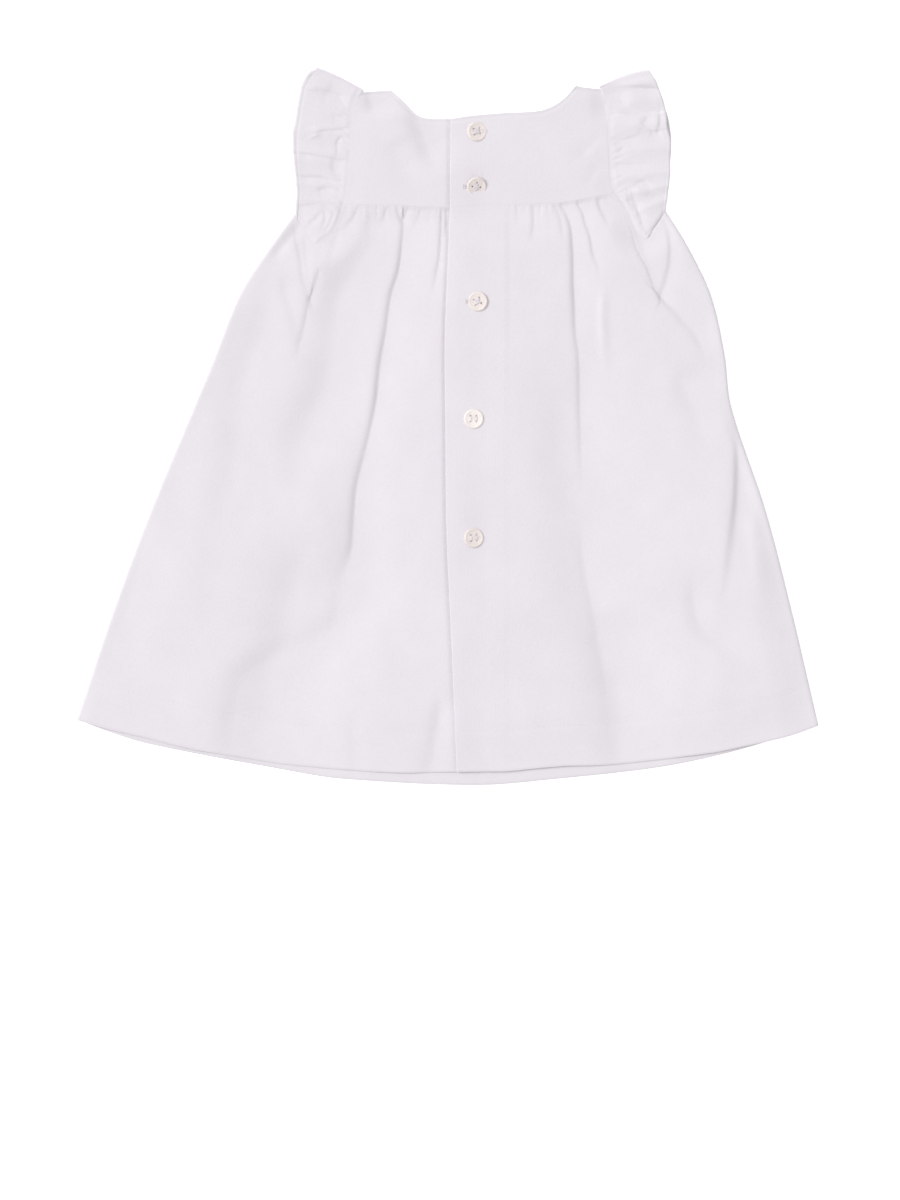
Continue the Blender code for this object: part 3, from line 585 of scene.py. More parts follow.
# of both backs
skirtFolds = [
    # gathers of the left back, from the armhole to the opening
    Fold(-0.6, 1.2, 7, 1.4, 1, 0, 1.5, [(-53.5, 132.6), (-55.3, 127), (-59.4, 121.3), (-65, 116)]),
    Fold(-0.5, 2.8, 8, 1.8, 0.8, 0, 1.8, [(-44, 132), (-46, 122.7), (-48, 112)]),
    Fold(-0.4, 1.2, 5, 1.6, 1, 0, 1.5, [(-35.3, 132), (-37.5, 127), (-40.2, 117)]),
    Fold(-0.5, 0.8, 3, 1.1, 1, 0.7, 1.4, [(-30.6, 132), (-29.2, 127.5), (-27.4, 123.5)]),
    Fold(-0.4, 0.9, 2, 1.1, 1, 0.7, 1.4, [(-23.6, 131.5), (-25, 127.5), (-26.6, 123.5)]),
    Fold(-0.4, 1.3, 5, 1.6, 1, 0, 1.5, [(-15.5, 131.5), (-17.3, 124.8), (-22.5, 116)]),
    Fold(-0.2, 1.4, 3, 1.6, 1, 0, 1.6, [(-10, 131), (-11.5, 118)]),
    # the long folds of the left back
    Fold(-1.7, 1.5, 16, 1.7, 0.6, 0, 1.4, [(-26.6, 124.5), (-26.4, 117.9), (-29, 94), (-33.4, 79.5),
        (-36.4, 59), (-39.8, 38.1), (-42.8, 13.5), (-47.5, -8)]),
    Fold(-1.6, 1.9, 20, 1.3, 0, 0, 1.4, [(-35, 66), (-36.4, 59), (-39.8, 38.1), (-42.8, 13.5),
        (-48.8, -14.1), (-54.2, -35.7), (-55.7, -50.7), (-57.8, -78.3), (-62.6, -98.7), (-67, -116),
        (-76, -126.5)]),
    Fold(-1.7, 12, 40, 1.1, 0, 0, 1.6, [(-42.8, 13.5), (-48.8, -14.1), (-54.2, -35.7), (-55.7, -50.7),
        (-57.8, -78.3), (-62.6, -98.7), (-67, -116), (-76, -128.5), (-91.4, -136)]),
    Fold(-3.6, 13, 34, 1.1, 0.6, 0, 2, [(-39, 124), (-44, 108), (-54.8, 92), (-61.5, 79.5), (-64, 69.9),
        (-66, 44.1), (-71.6, 18.3), (-84.4, -6), (-87.2, -24.9), (-89.2, -41.9), (-93, -66)]),
    Fold(-2.2, 13, 36, 1.1, 0, 0, 2, [(-102, 97.5), (-104.8, 74.7), (-109, 56.1), (-116.8, 38.1),
        (-121.6, 20.5), (-122.8, -2.1), (-126.8, -34.7), (-136.6, -66.3), (-140, -90)]),
    Fold(-3.2, 18, 40, 1.1, 0, 0.9, 2, [(-79, -60), (-86, -88), (-91, -110), (-94, -132), (-100, -152),
        (-104, -176), (-107, -200)]),
    Fold(-1.7, 6.5, 22, 1.5, 0, 0.8, 1.8, [(-51.5, -50), (-54.5, -74), (-58, -92.4), (-61.5, -108),
        (-66.5, -119), (-75, -127.5), (-88, -134.5), (-102, -139.5), (-113, -144), (-121, -151),
        (-125.5, -161), (-127.5, -174), (-129, -196)]),
    Fold(-0.6, 3, 8, 1.2, 0, 0, 1.8, [(-98, 94.5), (-96.2, 79.5), (-91.4, 62.7), (-88, 42)]),
    Fold(-0.9, 4, 6, 1.4, 0, 1, 1.9, [(-3, -160), (-7.5, -194), (-11.5, -210)]),
    Fold(-0.4, 4, 7, 1.2, 0, 1, 2, [(-56.5, -168), (-55, -208)]),
    # creases under the left ruffle
    Fold(-0.5, 1.2, 5, 1, 0.4, 0.8, 1.5, [(-92.3, 121), (-90.6, 112), (-88.4, 102), (-86.6, 88),
        (-84, 80.5), (-82.6, 75.5)]),
    Fold(-0.25, 0.9, 3, 1, 0.2, 0.4, 1.5, [(-86.2, 117), (-85.4, 107.5), (-84.2, 96.7), (-83.4, 88)]),
    Fold(-0.4, 1, 3, 1, 0, 0.5, 1.5, [(-76.4, 97), (-77.4, 91.5), (-80, 82.5), (-82.4, 76)]),
    Fold(-0.8, 1.6, 10, 1.5, 0.8, 0, 1.4, [(-82.6, 76.5), (-84.6, 66), (-87, 55), (-92, 36)]),
    Fold(-0.8, 5, 4, 1, 0.6, 0, 2, [(-91, 118), (-99, 110), (-108, 97)]),
    # gathers of the right back, from the opening to the armhole
    Fold(-0.2, 1.6, 4, 1.6, 1, 0, 1.8, [(42.5, 132), (42.5, 118)]),
    Fold(-0.55, 1.1, 6, 1.6, 1, 0, 1.4, [(52.1, 132.5), (52.1, 124), (50.6, 108)]),
    Fold(-0.5, 1, 3, 1.4, 1, 0, 1.4, [(64.5, 133), (68, 124), (69.9, 110)]),
    Fold(-0.8, 1, 8, 1.2, 1, 0, 1.4, [(77.8, 135), (81.5, 128), (83, 122), (85.7, 114.5), (87.7, 103.1),
        (90.3, 96.9), (91.8, 86)]),
    Fold(-0.7, 1, 6, 1.2, 1, 0, 1.4, [(90, 137.5), (92, 131), (96.5, 122.5), (98.6, 119.5)]),
    # the long folds of the right back
    Fold(-1.5, 1.5, 10, 1.3, 0.6, 0, 1.4, [(68.2, 133.5), (71.8, 126.9), (74.3, 119.5), (75.4, 108),
        (75.8, 97.5), (75.9, 85.5), (76.9, 68.7), (77.4, 50)]),
    Fold(-1, 1.6, 12, 1.3, 0, 0, 1.4, [(75.9, 92), (76.9, 58.7), (79, 42), (79.8, 12), (80.6, -20),
        (81.6, -50)]),
    Fold(-3, 21, 36, 1, 0, 0, 2, [(66, 60), (69, 36), (76, -14), (83.5, -74), (94.6, -134), (101, -188),
        (104, -208)]),
    Fold(-2.5, 13, 30, 1, 0, 1, 2, [(91, -108), (97, -128), (102, -150), (105.5, -175), (107, -208)]),
    Fold(-0.6, 3, 9, 1.2, 0, 0.2, 1.6, [(80.8, -50), (81.6, -80), (92.4, -134), (98.5, -186)]),
    Fold(0.6, 2.4, 3, 1.2, 0, 0, 2, [(93.5, 86), (92.8, 62), (95.5, 30)]),
    Fold(-0.3, 4, 6, 1.2, 0, 0, 1.8, [(109, -143), (103, -154), (97, -166)]),
    Fold(-0.8, 6, 18, 1.1, 0, 0, 1.9, [(137, 36.3), (152.6, 1.5), (160.4, -17.1)]),
    Fold(1, 16, 2.4, 1, 0, 0, 2, [(168.6, 30), (171.2, 4), (171.6, -17), (170.4, -48), (168, -76),
        (164, -112)]),
    Fold(-1, 2, 12, 1.1, 0, 0, 1.7, [(172.6, 10), (174, -14), (173.6, -44), (171.2, -60), (168, -88),
        (164, -120)]),
    Fold(0.7, 4, 5, 1.3, 0, 0, 2, [(182, -46), (185.5, -80), (190, -114)]),
    Fold(-1.2, 5, 12, 1.1, 0, 0, 1.7, [(148.5, -84), (148.5, -106.5), (153.4, -122.1), (168.4, -132.9),
        (181, -141.9), (190, -156)]),
    # creases under the right ruffle
    Fold(-0.6, 1.2, 6, 1, 0.6, 0.8, 1.4, [(111.8, 112.5), (114.6, 105.2), (120.2, 94.8), (123.9, 84.5),
        (127.9, 77.5)]),
    Fold(-0.8, 1.2, 7, 1, 0.8, 0.8, 1.5, [(129, 127), (132.1, 120.5), (133.7, 111.4), (133.6, 99),
        (131.1, 87.6), (128.1, 78.5)]),
    Fold(-0.9, 1.7, 9, 1.5, 1, 0, 1.4, [(127.9, 77.9), (135.4, 70.5), (142.5, 61.8), (149.2, 54.3),
        (157.6, 35.1)]),
]

# of the left back alone, which dips under the edge of the right one
skirtUnderlap = [
    Fold(-0.8, 1.1, 4, 1.6, 1, 0, 1.4, [(-3.2, 131), (-3.6, 118), (-4.6, 101), (-7.8, 84), (-9.5, 74)]),
    Fold(-0.6, 0.8, 3, 1.1, 1, 0, 1.4, [(-0.6, 131), (-0.6, 121), (-0.9, 112)]),
    Fold(-0.5, 1.2, 9, 1, 1, 0.5, 1.5, [(1.2, 132), (0, 102.9), (-1.9, 52), (-1.6, 0), (-0.9, -63.1),
        (2.1, -132.7), (5.2, -209)]),
]

seamLine = np.linspace(yokeSeamLeft[0][0], yokeSeamRight[-1][0], 240)
seamRise = yokeRise(seamLine, yOfSeam(seamLine))


def keptUp(height):
    # the sheet can sink by the room that is left over the front, and no further
    room = cloth["room"]
    return 0.5 * (height + room + np.sqrt((height + room) ** 2 + 0.5)) - room


def skirtForms(folds, x, y):
    # the wide folds and the unevenness start a little below the yoke seam, the narrow folds at it
    narrow = [fold for fold in folds if fold.west <= 5]
    broad = foldField([fold for fold in folds if fold.west > 5], x, y)
    broad += undulation(x, y, *skirt["unevenness"]) + undulation(x, y, *skirt["rumple"])
    return broad * smoothStep((yOfSeam(x) - y) / 12) + foldField(narrow, x, y)


def skirtLift(x, y, folds, toHem=1e3, toNotch=1e3):
    s = skirt
    leftward, rightward = x - xOfEdge(sideLeft, y), xOfEdge(sideRight, y) - x
    leftRise = 0.7 + 0.3 * smoothStep(leftward / s["sideRoll"])
    low = smoothStep((-20 - y) / 70)
    rightRoll = s["sideRoll"] * (1 - 0.4 * low)
    rightRise = 1 - (0.3 + 0.4 * low) * (1 - smoothStep(rightward / rightRoll))
    below = np.maximum(yOfSeam(x) - y, 0)
    air = s["yokePuff"] + (s["puff"] - s["yokePuff"]) * smoothStep(below / s["puffRise"])
    settle = s["hemSet"] + (1 - s["hemSet"]) * smoothStep(toHem / s["hemRise"])
    notch = 0.3 + 0.7 * smoothStep(toNotch / s["notchRise"])
    fade = smoothStep(np.minimum(leftward, rightward) / 9) * smoothStep(0.12 + below / s["seamPinch"])
    atSeam = np.interp(x, seamLine, seamRise)
    away = smoothStep(below / s["seamReach"])
    rise = atSeam + (air * leftRise * rightRise * settle * notch - atSeam) * away
    return keptUp(rise + fade * folds * (0.4 + 0.6 * settle))


def lapForm(side, x, y):
    # at the opening the right back lies on the left one, and the two sink to one level further in
    start, stop = cloth["lapFall"]
    inner = smoothStep((x - start) / (stop - start))
    if side == "right":
        return cloth["lapRise"] * (1 - cloth["lapSink"] * inner) + placketForm(x, y)
    return -(cloth["lapRise"] * cloth["lapSink"] * inner + 0.4 * smoothStep((x - 20) / 10))


skirtGathers = {
    "seed": 11,
    "depth": (0.08, 0.35),
    "width": (0.6, 1.1),
    "reach": (2.5, 9),  # mm below the yoke seam
    "lean": (-0.12, 0.12),
    "pitch": (3, 7),  # mm between them
}


def gathers(settings, seed, start, stop):
    # the fine gathers that a seam holds: where each is, its depth, width, reach and lean
    draw = np.random.default_rng(seed)
    at = start
    while at < stop:
        yield at, *(draw.uniform(*settings[key]) for key in ("depth", "width", "reach", "lean"))
        at += draw.uniform(*settings["pitch"])


def seamPuckers(x, y, start, stop):
    below = yOfSeam(x) - y
    under = np.maximum(below, 0)
    total = np.zeros(x.shape)
    for at, depth, width, reach, lean in gathers(skirtGathers, skirtGathers["seed"], start, stop):
        across = bell(x - at - lean * below, width * (1 + 0.06 * under))
        total -= depth * across * np.exp(-under / reach)
    return total


hem = {
    "inset": 25,  # of its stitches from the edge
    "depth": 0.12,  # of the groove that they draw in
    "ends": 213,  # x beyond which no stitches show
}


def hemGroove(away):
    inset, depth = hem["inset"], hem["depth"]
    return 0.8 * depth * smoothStep((inset - away) / 2) - depth * bell(away - inset, 0.9)


placket = {
    "facing": 34.4,  # x of the inner edge of the turned-in facing
    "height": 0.24,  # that it adds to the strip by the opening
}


def placketForm(x, y):
    below = smoothStep((133 - y) / 12) * (0.3 + 0.7 * smoothStep(y / 80))
    return placket["height"] * below * (1 - smoothStep((x - placket["facing"] + 0.2) / 3.6))


def backSkirt(side, top, bottom, left, right, flat):
    # top has the underarm as its last run on the right back and its first on the left
    s = skirt
    isRight = side == "right"
    plan = panelPlan(s, top, bottom, left, right)
    x, y = plan[..., 0], plan[..., 1]
    away = distances(plan)
    notch = curveAt(underarmRight if isRight else underarmLeft, np.linspace(0, 1, 24))
    folds = skirtForms(skirtFolds if isRight else skirtFolds + skirtUnderlap, x, y)
    folds += seamPuckers(x, y, *s["gathered"][side])
    height = backLevel + skirtLift(x, y, folds, away["bottom"], alongPath(notch, x, y)[0])
    height += hemGroove(away["bottom"])
    height += lapForm(side, x, y)
    atSeam = height[:, -1:] if isRight else height[:, :1]
    height -= edgeDrop(away[side], s["sideRadius"], 1) * (atSeam - s["sideLevel"])
    # the top edge turns down under the yoke and under the ruffle
    height -= 0.02 + 0.85 * smoothStep((s["rim"][3] - away["top"]) / 0.3)
    return clothPiece(f"back_skirt_{side}", "skirt", plan, height, s["rolls"][side], flat)


def raised(points):
    # the run that goes under the edge of the yoke, or of the ruffle
    return [(x, y + skirt["tuck"]) for x, y in points]


lapEdge = [(cloth["underlap"], raised(yokeSeamLap)[-1][1]), (cloth["underlap"], hemLap[-1][1])]
backSkirtLeft = backSkirt(
    "left", [(raised(underarmLeft[::-1]), 10), (raised(yokeSeamLeft), 24), (raised(yokeSeamLap), 3)],
    [(hemSideLeft, 10), (hemLeft, 24), ([hemLap[0], lapEdge[-1]], 3)],
    raised(sideLeft[:1]) + sideLeft[1:], lapEdge, (260, 350))
backSkirtRight = backSkirt(
    "right", [(raised(yokeSeamLap), 6), (raised(yokeSeamRight), 24), (raised(underarmRight), 10)],
    [(hemLap, 6), (hemRight, 24), (hemSideRight, 10)],
    raised(openingSkirt[:1]) + openingSkirt[1:], raised(sideRight[:1]) + sideRight[1:], (235, 350))
print("back skirts made")


frontSkirt = {
    "rows": 80,
    "columns": 150,
    "rim": skirt["sideRim"],
    "rolls": {"bottom": (1.2, 0.4)},
    "thickness": 0.8,
    "sideInset": 0.6,
    "hemRise": 2.3,  # its hem stands up against the hem of the back
    "hemReach": 34,
    "clear": 0.15,  # between the two at the hem
    "seamCurl": 0.8,  # its sides curl up to the side seams
    "unevenness": (21, 10, 16, 60, 0.08),
}
hemNick = [Fold(-0.5, 0.9, 2, 1, 1, 1, 1.5, [(17.2, -206), (17, -216)])]


def makeFrontSkirt(underBack):
    s = frontSkirt
    top = [(underarmLeft[::-1], 10), (yokeSeamLeft, 6), (yokeSeamLap, 2), (yokeSeamRight, 6),
           (underarmRight, 10)]
    plan = panelPlan(s, top, [(hemFront, 34)], sideLeft, sideRight)
    x, y = plan[..., 0], plan[..., 1]
    left, right = xOfEdge(sideLeft, y), xOfEdge(sideRight, y)
    centre, half = 0.5 * (left + right), 0.5 * (right - left)
    plan[..., 0] = centre + (x - centre) * (1 - s["sideInset"] / half)
    height = np.full(x.shape, s["thickness"])
    away = distances(plan)
    toSide = np.minimum(away["left"], away["right"])
    near = smoothStep((s["hemReach"] - away["bottom"]) / 22) * smoothStep(toSide / 30)
    height += near * (s["hemRise"] + undulation(x, y, *s["unevenness"]))
    # where the back dips at the hem, the front makes room
    hemOutline = np.array(hemSideLeft + hemLeft[1:] + hemLap[1:] + hemRight[1:] + hemSideRight[1:])
    inside = np.maximum(y, np.interp(x, hemOutline[:, 0], hemOutline[:, 1]) + 1.5)
    for spot in zip(*np.nonzero(near > 0.01)):
        room = underBack(x[spot], inside[spot]) - cloth["sheet"] - s["clear"]
        height[spot] = max(min(height[spot], room), s["thickness"])
    height += near * foldField(hemNick, x, y)
    height += s["seamCurl"] * edgeDrop(toSide, 2.5, 1)
    return clothPiece("front_skirt", "skirt", plan, height, s["rolls"], (470, 355), s["thickness"])


frontSkirtPiece = makeFrontSkirt(surfaceOf(backSkirtLeft, backSkirtRight))
print("front skirt made")


def onShoulder(x):
    # 1 along the shoulder seams and 0 along the neck
    left, right = shoulderLeft[-1][0], shoulderRight[0][0]
    return smoothStep((left - x) / 4) + smoothStep((x - right) / 4)


def backYoke(side, top, bottom, left, right, flat):
    s = yoke
    plan = panelPlan(s, top, bottom, left, right)
    x, y = plan[..., 0], plan[..., 1]
    rise = yokeRise(x, y) if side == "right" else yokeRise(x, y) + foldField(yokeUnderlap, x, y)
    height = backLevel + keptUp(rise) + lapForm(side, x, y)
    # its top edge comes down to the shoulder seam, and only turns in a little along the neck
    shoulder = onShoulder(x[:1])
    drop = shoulder * (height[:1] - s["seamLevel"]) + (1 - shoulder) * 0.3
    below = distances(plan)["top"]
    height -= edgeDrop(below, 1, 1) * drop + s["turnDepth"] * bell(below - 1.8, 0.9)
    return clothPiece(f"back_yoke_{side}", "yoke", plan, height, s["rolls"][side], flat)


backYokeLeft = backYoke(
    "left", [(shoulderLeft, 3), (neckLeft, 7), (neckLap, 3)], [(yokeSeamLeft, 10), (yokeSeamLap, 3)],
    armholeLeft, [neckLap[-1], yokeSeamLap[-1]], (92, 70))
backYokeRight = backYoke(
    "right", [(neckLap, 5), (neckRight, 8), (shoulderRight, 3)], [(yokeSeamLap, 5), (yokeSeamRight, 11)],
    openingYoke, armholeRight, (99, 73))


frontYoke = {
    "rows": 40,
    "columns": 90,
    "rim": yoke["rim"],
    "thickness": 0.8,
    "seamCurl": 0.8,  # its top curls up to the shoulder seams
    "rolls": {"left": (1, 0.4), "right": (1, 0.4)},
}


def makeFrontYoke():
    s = frontYoke
    top = [(shoulderLeft, 2), (neckFront, 10), (shoulderRight, 2)]
    bottom = [(yokeSeamLeft, 6), (yokeSeamLap, 2), (yokeSeamRight, 6)]
    plan = panelPlan(s, top, bottom, armholeLeft, armholeRight)
    height = np.full(plan.shape[:2], s["thickness"])
    height += s["seamCurl"] * edgeDrop(distances(plan)["top"], 2, 1) * onShoulder(plan[:1, :, 0])
    return clothPiece("front_yoke", "yoke", plan, height, s["rolls"], (158, 70), s["thickness"])


frontYokePiece = makeFrontYoke()
print("yokes made")


ruffle = {
    "air": 1.2,  # inside the turn over the shoulder
    "clearance": 0.65,  # between its inner edge and the armhole seam
    "tuckIn": 1.9,  # how far the sheet's inner edge goes under the edge of the yoke
    "level": 4,  # mm, the middle of the back half, away from its edges
    "seamStep": 0.05,  # of its top below that of the yoke, at the armhole seam
    "climb": 3.2,  # width over which it leaves the level of the seam
    "shoulderClimb": {"left": 0, "right": 14},  # more of that at the shoulder
    "seamRelief": 0.12,  # how deep its folds are where the seam holds them
    "endRise": {"left": -0.15, "right": 0.3},  # of its lower end over the top of the skirt
    "endReach": {"left": 2, "right": 2.1},  # how far that end reaches down to the skirt
    "bow": {"left": 0.9, "right": 1.8},  # of the fold over the shoulder, out from a straight line
    "hem": 2.4,  # width of the turned hem along the loose edge
    "hemDepth": {"left": 0.14, "right": 0.05},
    "layerGap": 0.25,  # between its front and back halves at the loose edge
    "endDrop": {"left": 0.05, "right": 0.3},
    "flat": (36, 330),
    "backRows": 190,
    "turnRows": 12,
    "frontRows": 90,
    "columns": 60,
    "width": 32,  # mm, the mean, for the spacing of the columns
    "seamRim": [0, 0.35, 0.75, 1.1, 1.5, 2.1],  # mm from the seam to the nearest columns
    "edgeRim": [0, 0.3, 0.8, 1.5, 2.1, 2.5, 2.9],  # mm from the loose edge, and from both ends
    "seed": {"left": 31, "right": 37},
    "edgeWobble": 0.4,  # mm that the crests push the loose edge outwards
}

ruffleGathers = {
    "depth": (0.1, 0.45),
    "width": (0.6, 1.1),
    "reach": (0.12, 0.38),  # share of the ruffle's width
    "lean": (-6, 6),
    "pitch": (2.6, 6.5),
}

Wave = namedtuple("Wave", "height half seam edge")

ruffleWaves = {
    "left": [
        Wave(0.9, 5, 197, 206),
        Wave(0.7, 6, 186, 191.5),
        Wave(1.1, 5, 175.5, 178),
        Wave(1, 5.5, 160, 160),
        Wave(0.9, 3.2, 145, 146),
        Wave(0.6, 3.6, 134, 137),
    ],
    "right": [
        Wave(1.1, 4.6, 203, 210),
        Wave(0.9, 6, 194, 197.5),
        Wave(1.2, 5, 179, 183),
        Wave(0.9, 5.5, 165, 168),
        Wave(1, 4.4, 150, 152.5),
        Wave(1.1, 3.6, 138, 145),
        Wave(0.8, 3.4, 127, 136.5),
    ],
}

# how far the loose edge of the back half lies inside that of the front half: y, half width, depth
edgeRecess = {"left": [], "right": [(181, 7, 1.9), (166, 7, 0.7)]}

ruffleFolds = {
    "left": [
        Fold(-1.2, 7, 1.1, 1, 0.5, 0.5, 1.4, [(-91, 163.8), (-79.4, 162.4), (-68.5, 160.2), (-62, 159.2)]),
        Fold(-1.1, 7, 1.1, 1, 0.5, 0.5, 1.4, [(-91, 149.8), (-76.5, 149.2), (-67.5, 147), (-60.5, 146.4)]),
        Fold(-1.1, 6, 1.6, 1, 0.5, 0.4, 1.5, [(-77.5, 201.4), (-68.5, 199.9), (-60.4, 195.9), (-57, 192)]),
        Fold(-0.7, 6, 1.5, 1, 0.6, 0.5, 1.5, [(-87, 206.5), (-79, 211.2), (-66, 206.3), (-54.5, 200)]),
        Fold(-0.7, 5, 3, 1.3, 0.3, 0.5, 1.7, [(-72, 206.5), (-64, 202.5), (-57, 199)]),
        Fold(-0.4, 4, 0.8, 1, 0.3, 0.3, 1.4, [(-70, 186.5), (-60, 186.2)]),
        Fold(-0.7, 5, 0.8, 1, 0.2, 0.7, 1.4, [(-80, 175.6), (-74, 177.2), (-66, 177.9), (-59, 179.4)]),
        Fold(-0.3, 4, 0.8, 1, 0.2, 0.2, 1.4, [(-88, 181), (-78, 180.5)]),
        Fold(0.4, 1, 1, 1, 0.2, 0.2, 2, [(-83, 173), (-76.5, 175.5)]),
        Fold(-0.5, 2, 0.7, 1, 0.5, 0.5, 1.4, [(-66.5, 167), (-66, 171), (-64, 173.6), (-60, 173.2)]),
        Fold(-0.7, 3, 0.8, 1, 0.6, 0.5, 1.4, [(-62.5, 159.6), (-59.4, 156.4), (-59.6, 150.8)]),
        Fold(-0.6, 2.2, 5, 1, 0.6, 0.6, 1.8, [(-67.5, 161), (-68, 156), (-66, 150.5)]),
        Fold(-0.4, 4, 0.8, 1, 0.2, 0.2, 1.4, [(-91, 132.5), (-84, 132.6), (-76, 133.5)]),
        Fold(-0.5, 4, 1, 1, 0.2, 0.2, 1.5, [(-79, 141.5), (-73, 143), (-67, 140.5)]),
        Fold(-0.4, 2.4, 1.2, 1, 0.4, 0.2, 1.6, [(-84, 121), (-79, 124.5), (-74, 131)]),
        Fold(-0.5, 0.9, 3, 1, 0.4, 0.2, 1.4, [(-68, 128), (-70.5, 121), (-73.5, 115)]),
        Fold(-0.4, 0.9, 3, 1, 0.2, 0.2, 1.4, [(-74, 131), (-73.5, 124), (-76, 118)]),
        Fold(-0.35, 3, 0.8, 1, 0.7, 0.7, 1.5, [(-91.4, 165), (-91, 190), (-88, 203)]),
    ],
    "right": [
        Fold(-1.3, 1.2, 7, 1, 0.7, 0.9, 1.4, [(129.6, 202.6), (112, 203.6), (95, 203.4)]),
        Fold(-1.8, 1, 12, 1, 0.6, 0.9, 1.6, [(98.5, 190), (112, 188.1), (128, 189.6)]),
        Fold(-0.5, 4, 1, 1, 0.3, 0.3, 1.5, [(99, 195.5), (104.5, 194.2), (109, 192.8)]),
        Fold(-0.7, 0.8, 3, 1, 0.4, 0.4, 1.4, [(127.4, 188.5), (128.2, 182), (127, 177.5)]),
        Fold(-0.7, 4, 0.8, 1, 0.4, 0.4, 1.4, [(121.5, 177.4), (125, 176.6), (130, 178)]),
        Fold(-0.8, 5, 2.4, 1, 0.3, 0.3, 1.9, [(117, 180), (122, 187)]),
        Fold(-0.5, 5, 1, 1, 0.3, 0.3, 1.4, [(99.5, 172.4), (106, 172), (116, 175.5)]),
        Fold(-0.35, 3, 0.9, 1, 0.2, 0.2, 1.5, [(102, 164), (106.5, 168.5)]),
        Fold(-0.35, 3, 0.7, 1, 0.4, 0.4, 1.4, [(98.5, 157.4), (108, 157.2), (117, 157.4)]),
        Fold(-0.6, 5, 1.2, 1, 0.2, 0.3, 1.5, [(110, 145.5), (118, 146.8), (122, 143), (129.5, 138.5)]),
        Fold(0.5, 1.6, 1.6, 1, 0.3, 0.3, 2, [(112, 142.5), (122, 139)]),
        Fold(-0.6, 1, 4, 1, 0.5, 0.3, 1.5, [(108.4, 138.3), (110.4, 131), (114.6, 120.7)]),
        Fold(-0.8, 0.9, 3, 1, 0.5, 0.3, 1.5, [(111, 138.3), (114.5, 129), (118.5, 118)]),
        Fold(-1.4, 3.6, 1.2, 1, 0.8, 0.6, 1.4, [(121, 113.5), (126.5, 121.5), (130.5, 128.5)]),
    ],
}


def waveHeight(waves, outwards, y):
    total = np.zeros(y.shape)
    for wave in waves:
        crest = wave.seam + (wave.edge - wave.seam) * outwards
        total += wave.height * np.exp(-np.abs((y - crest) / wave.half) ** 1.7)
    return total * (0.35 + 0.65 * smoothStep(outwards / 0.6))


def rufflePuckers(outwards, run, seed, length):
    # fine gathers that start at the armhole seam and fan out
    total = np.zeros(outwards.shape)
    for at, depth, width, reach, lean in gathers(ruffleGathers, seed, 1, length - 1):
        across = bell(run - at - lean * outwards, width * (1 + 1.6 * outwards))
        total -= depth * across * bell(outwards, reach)
    return total


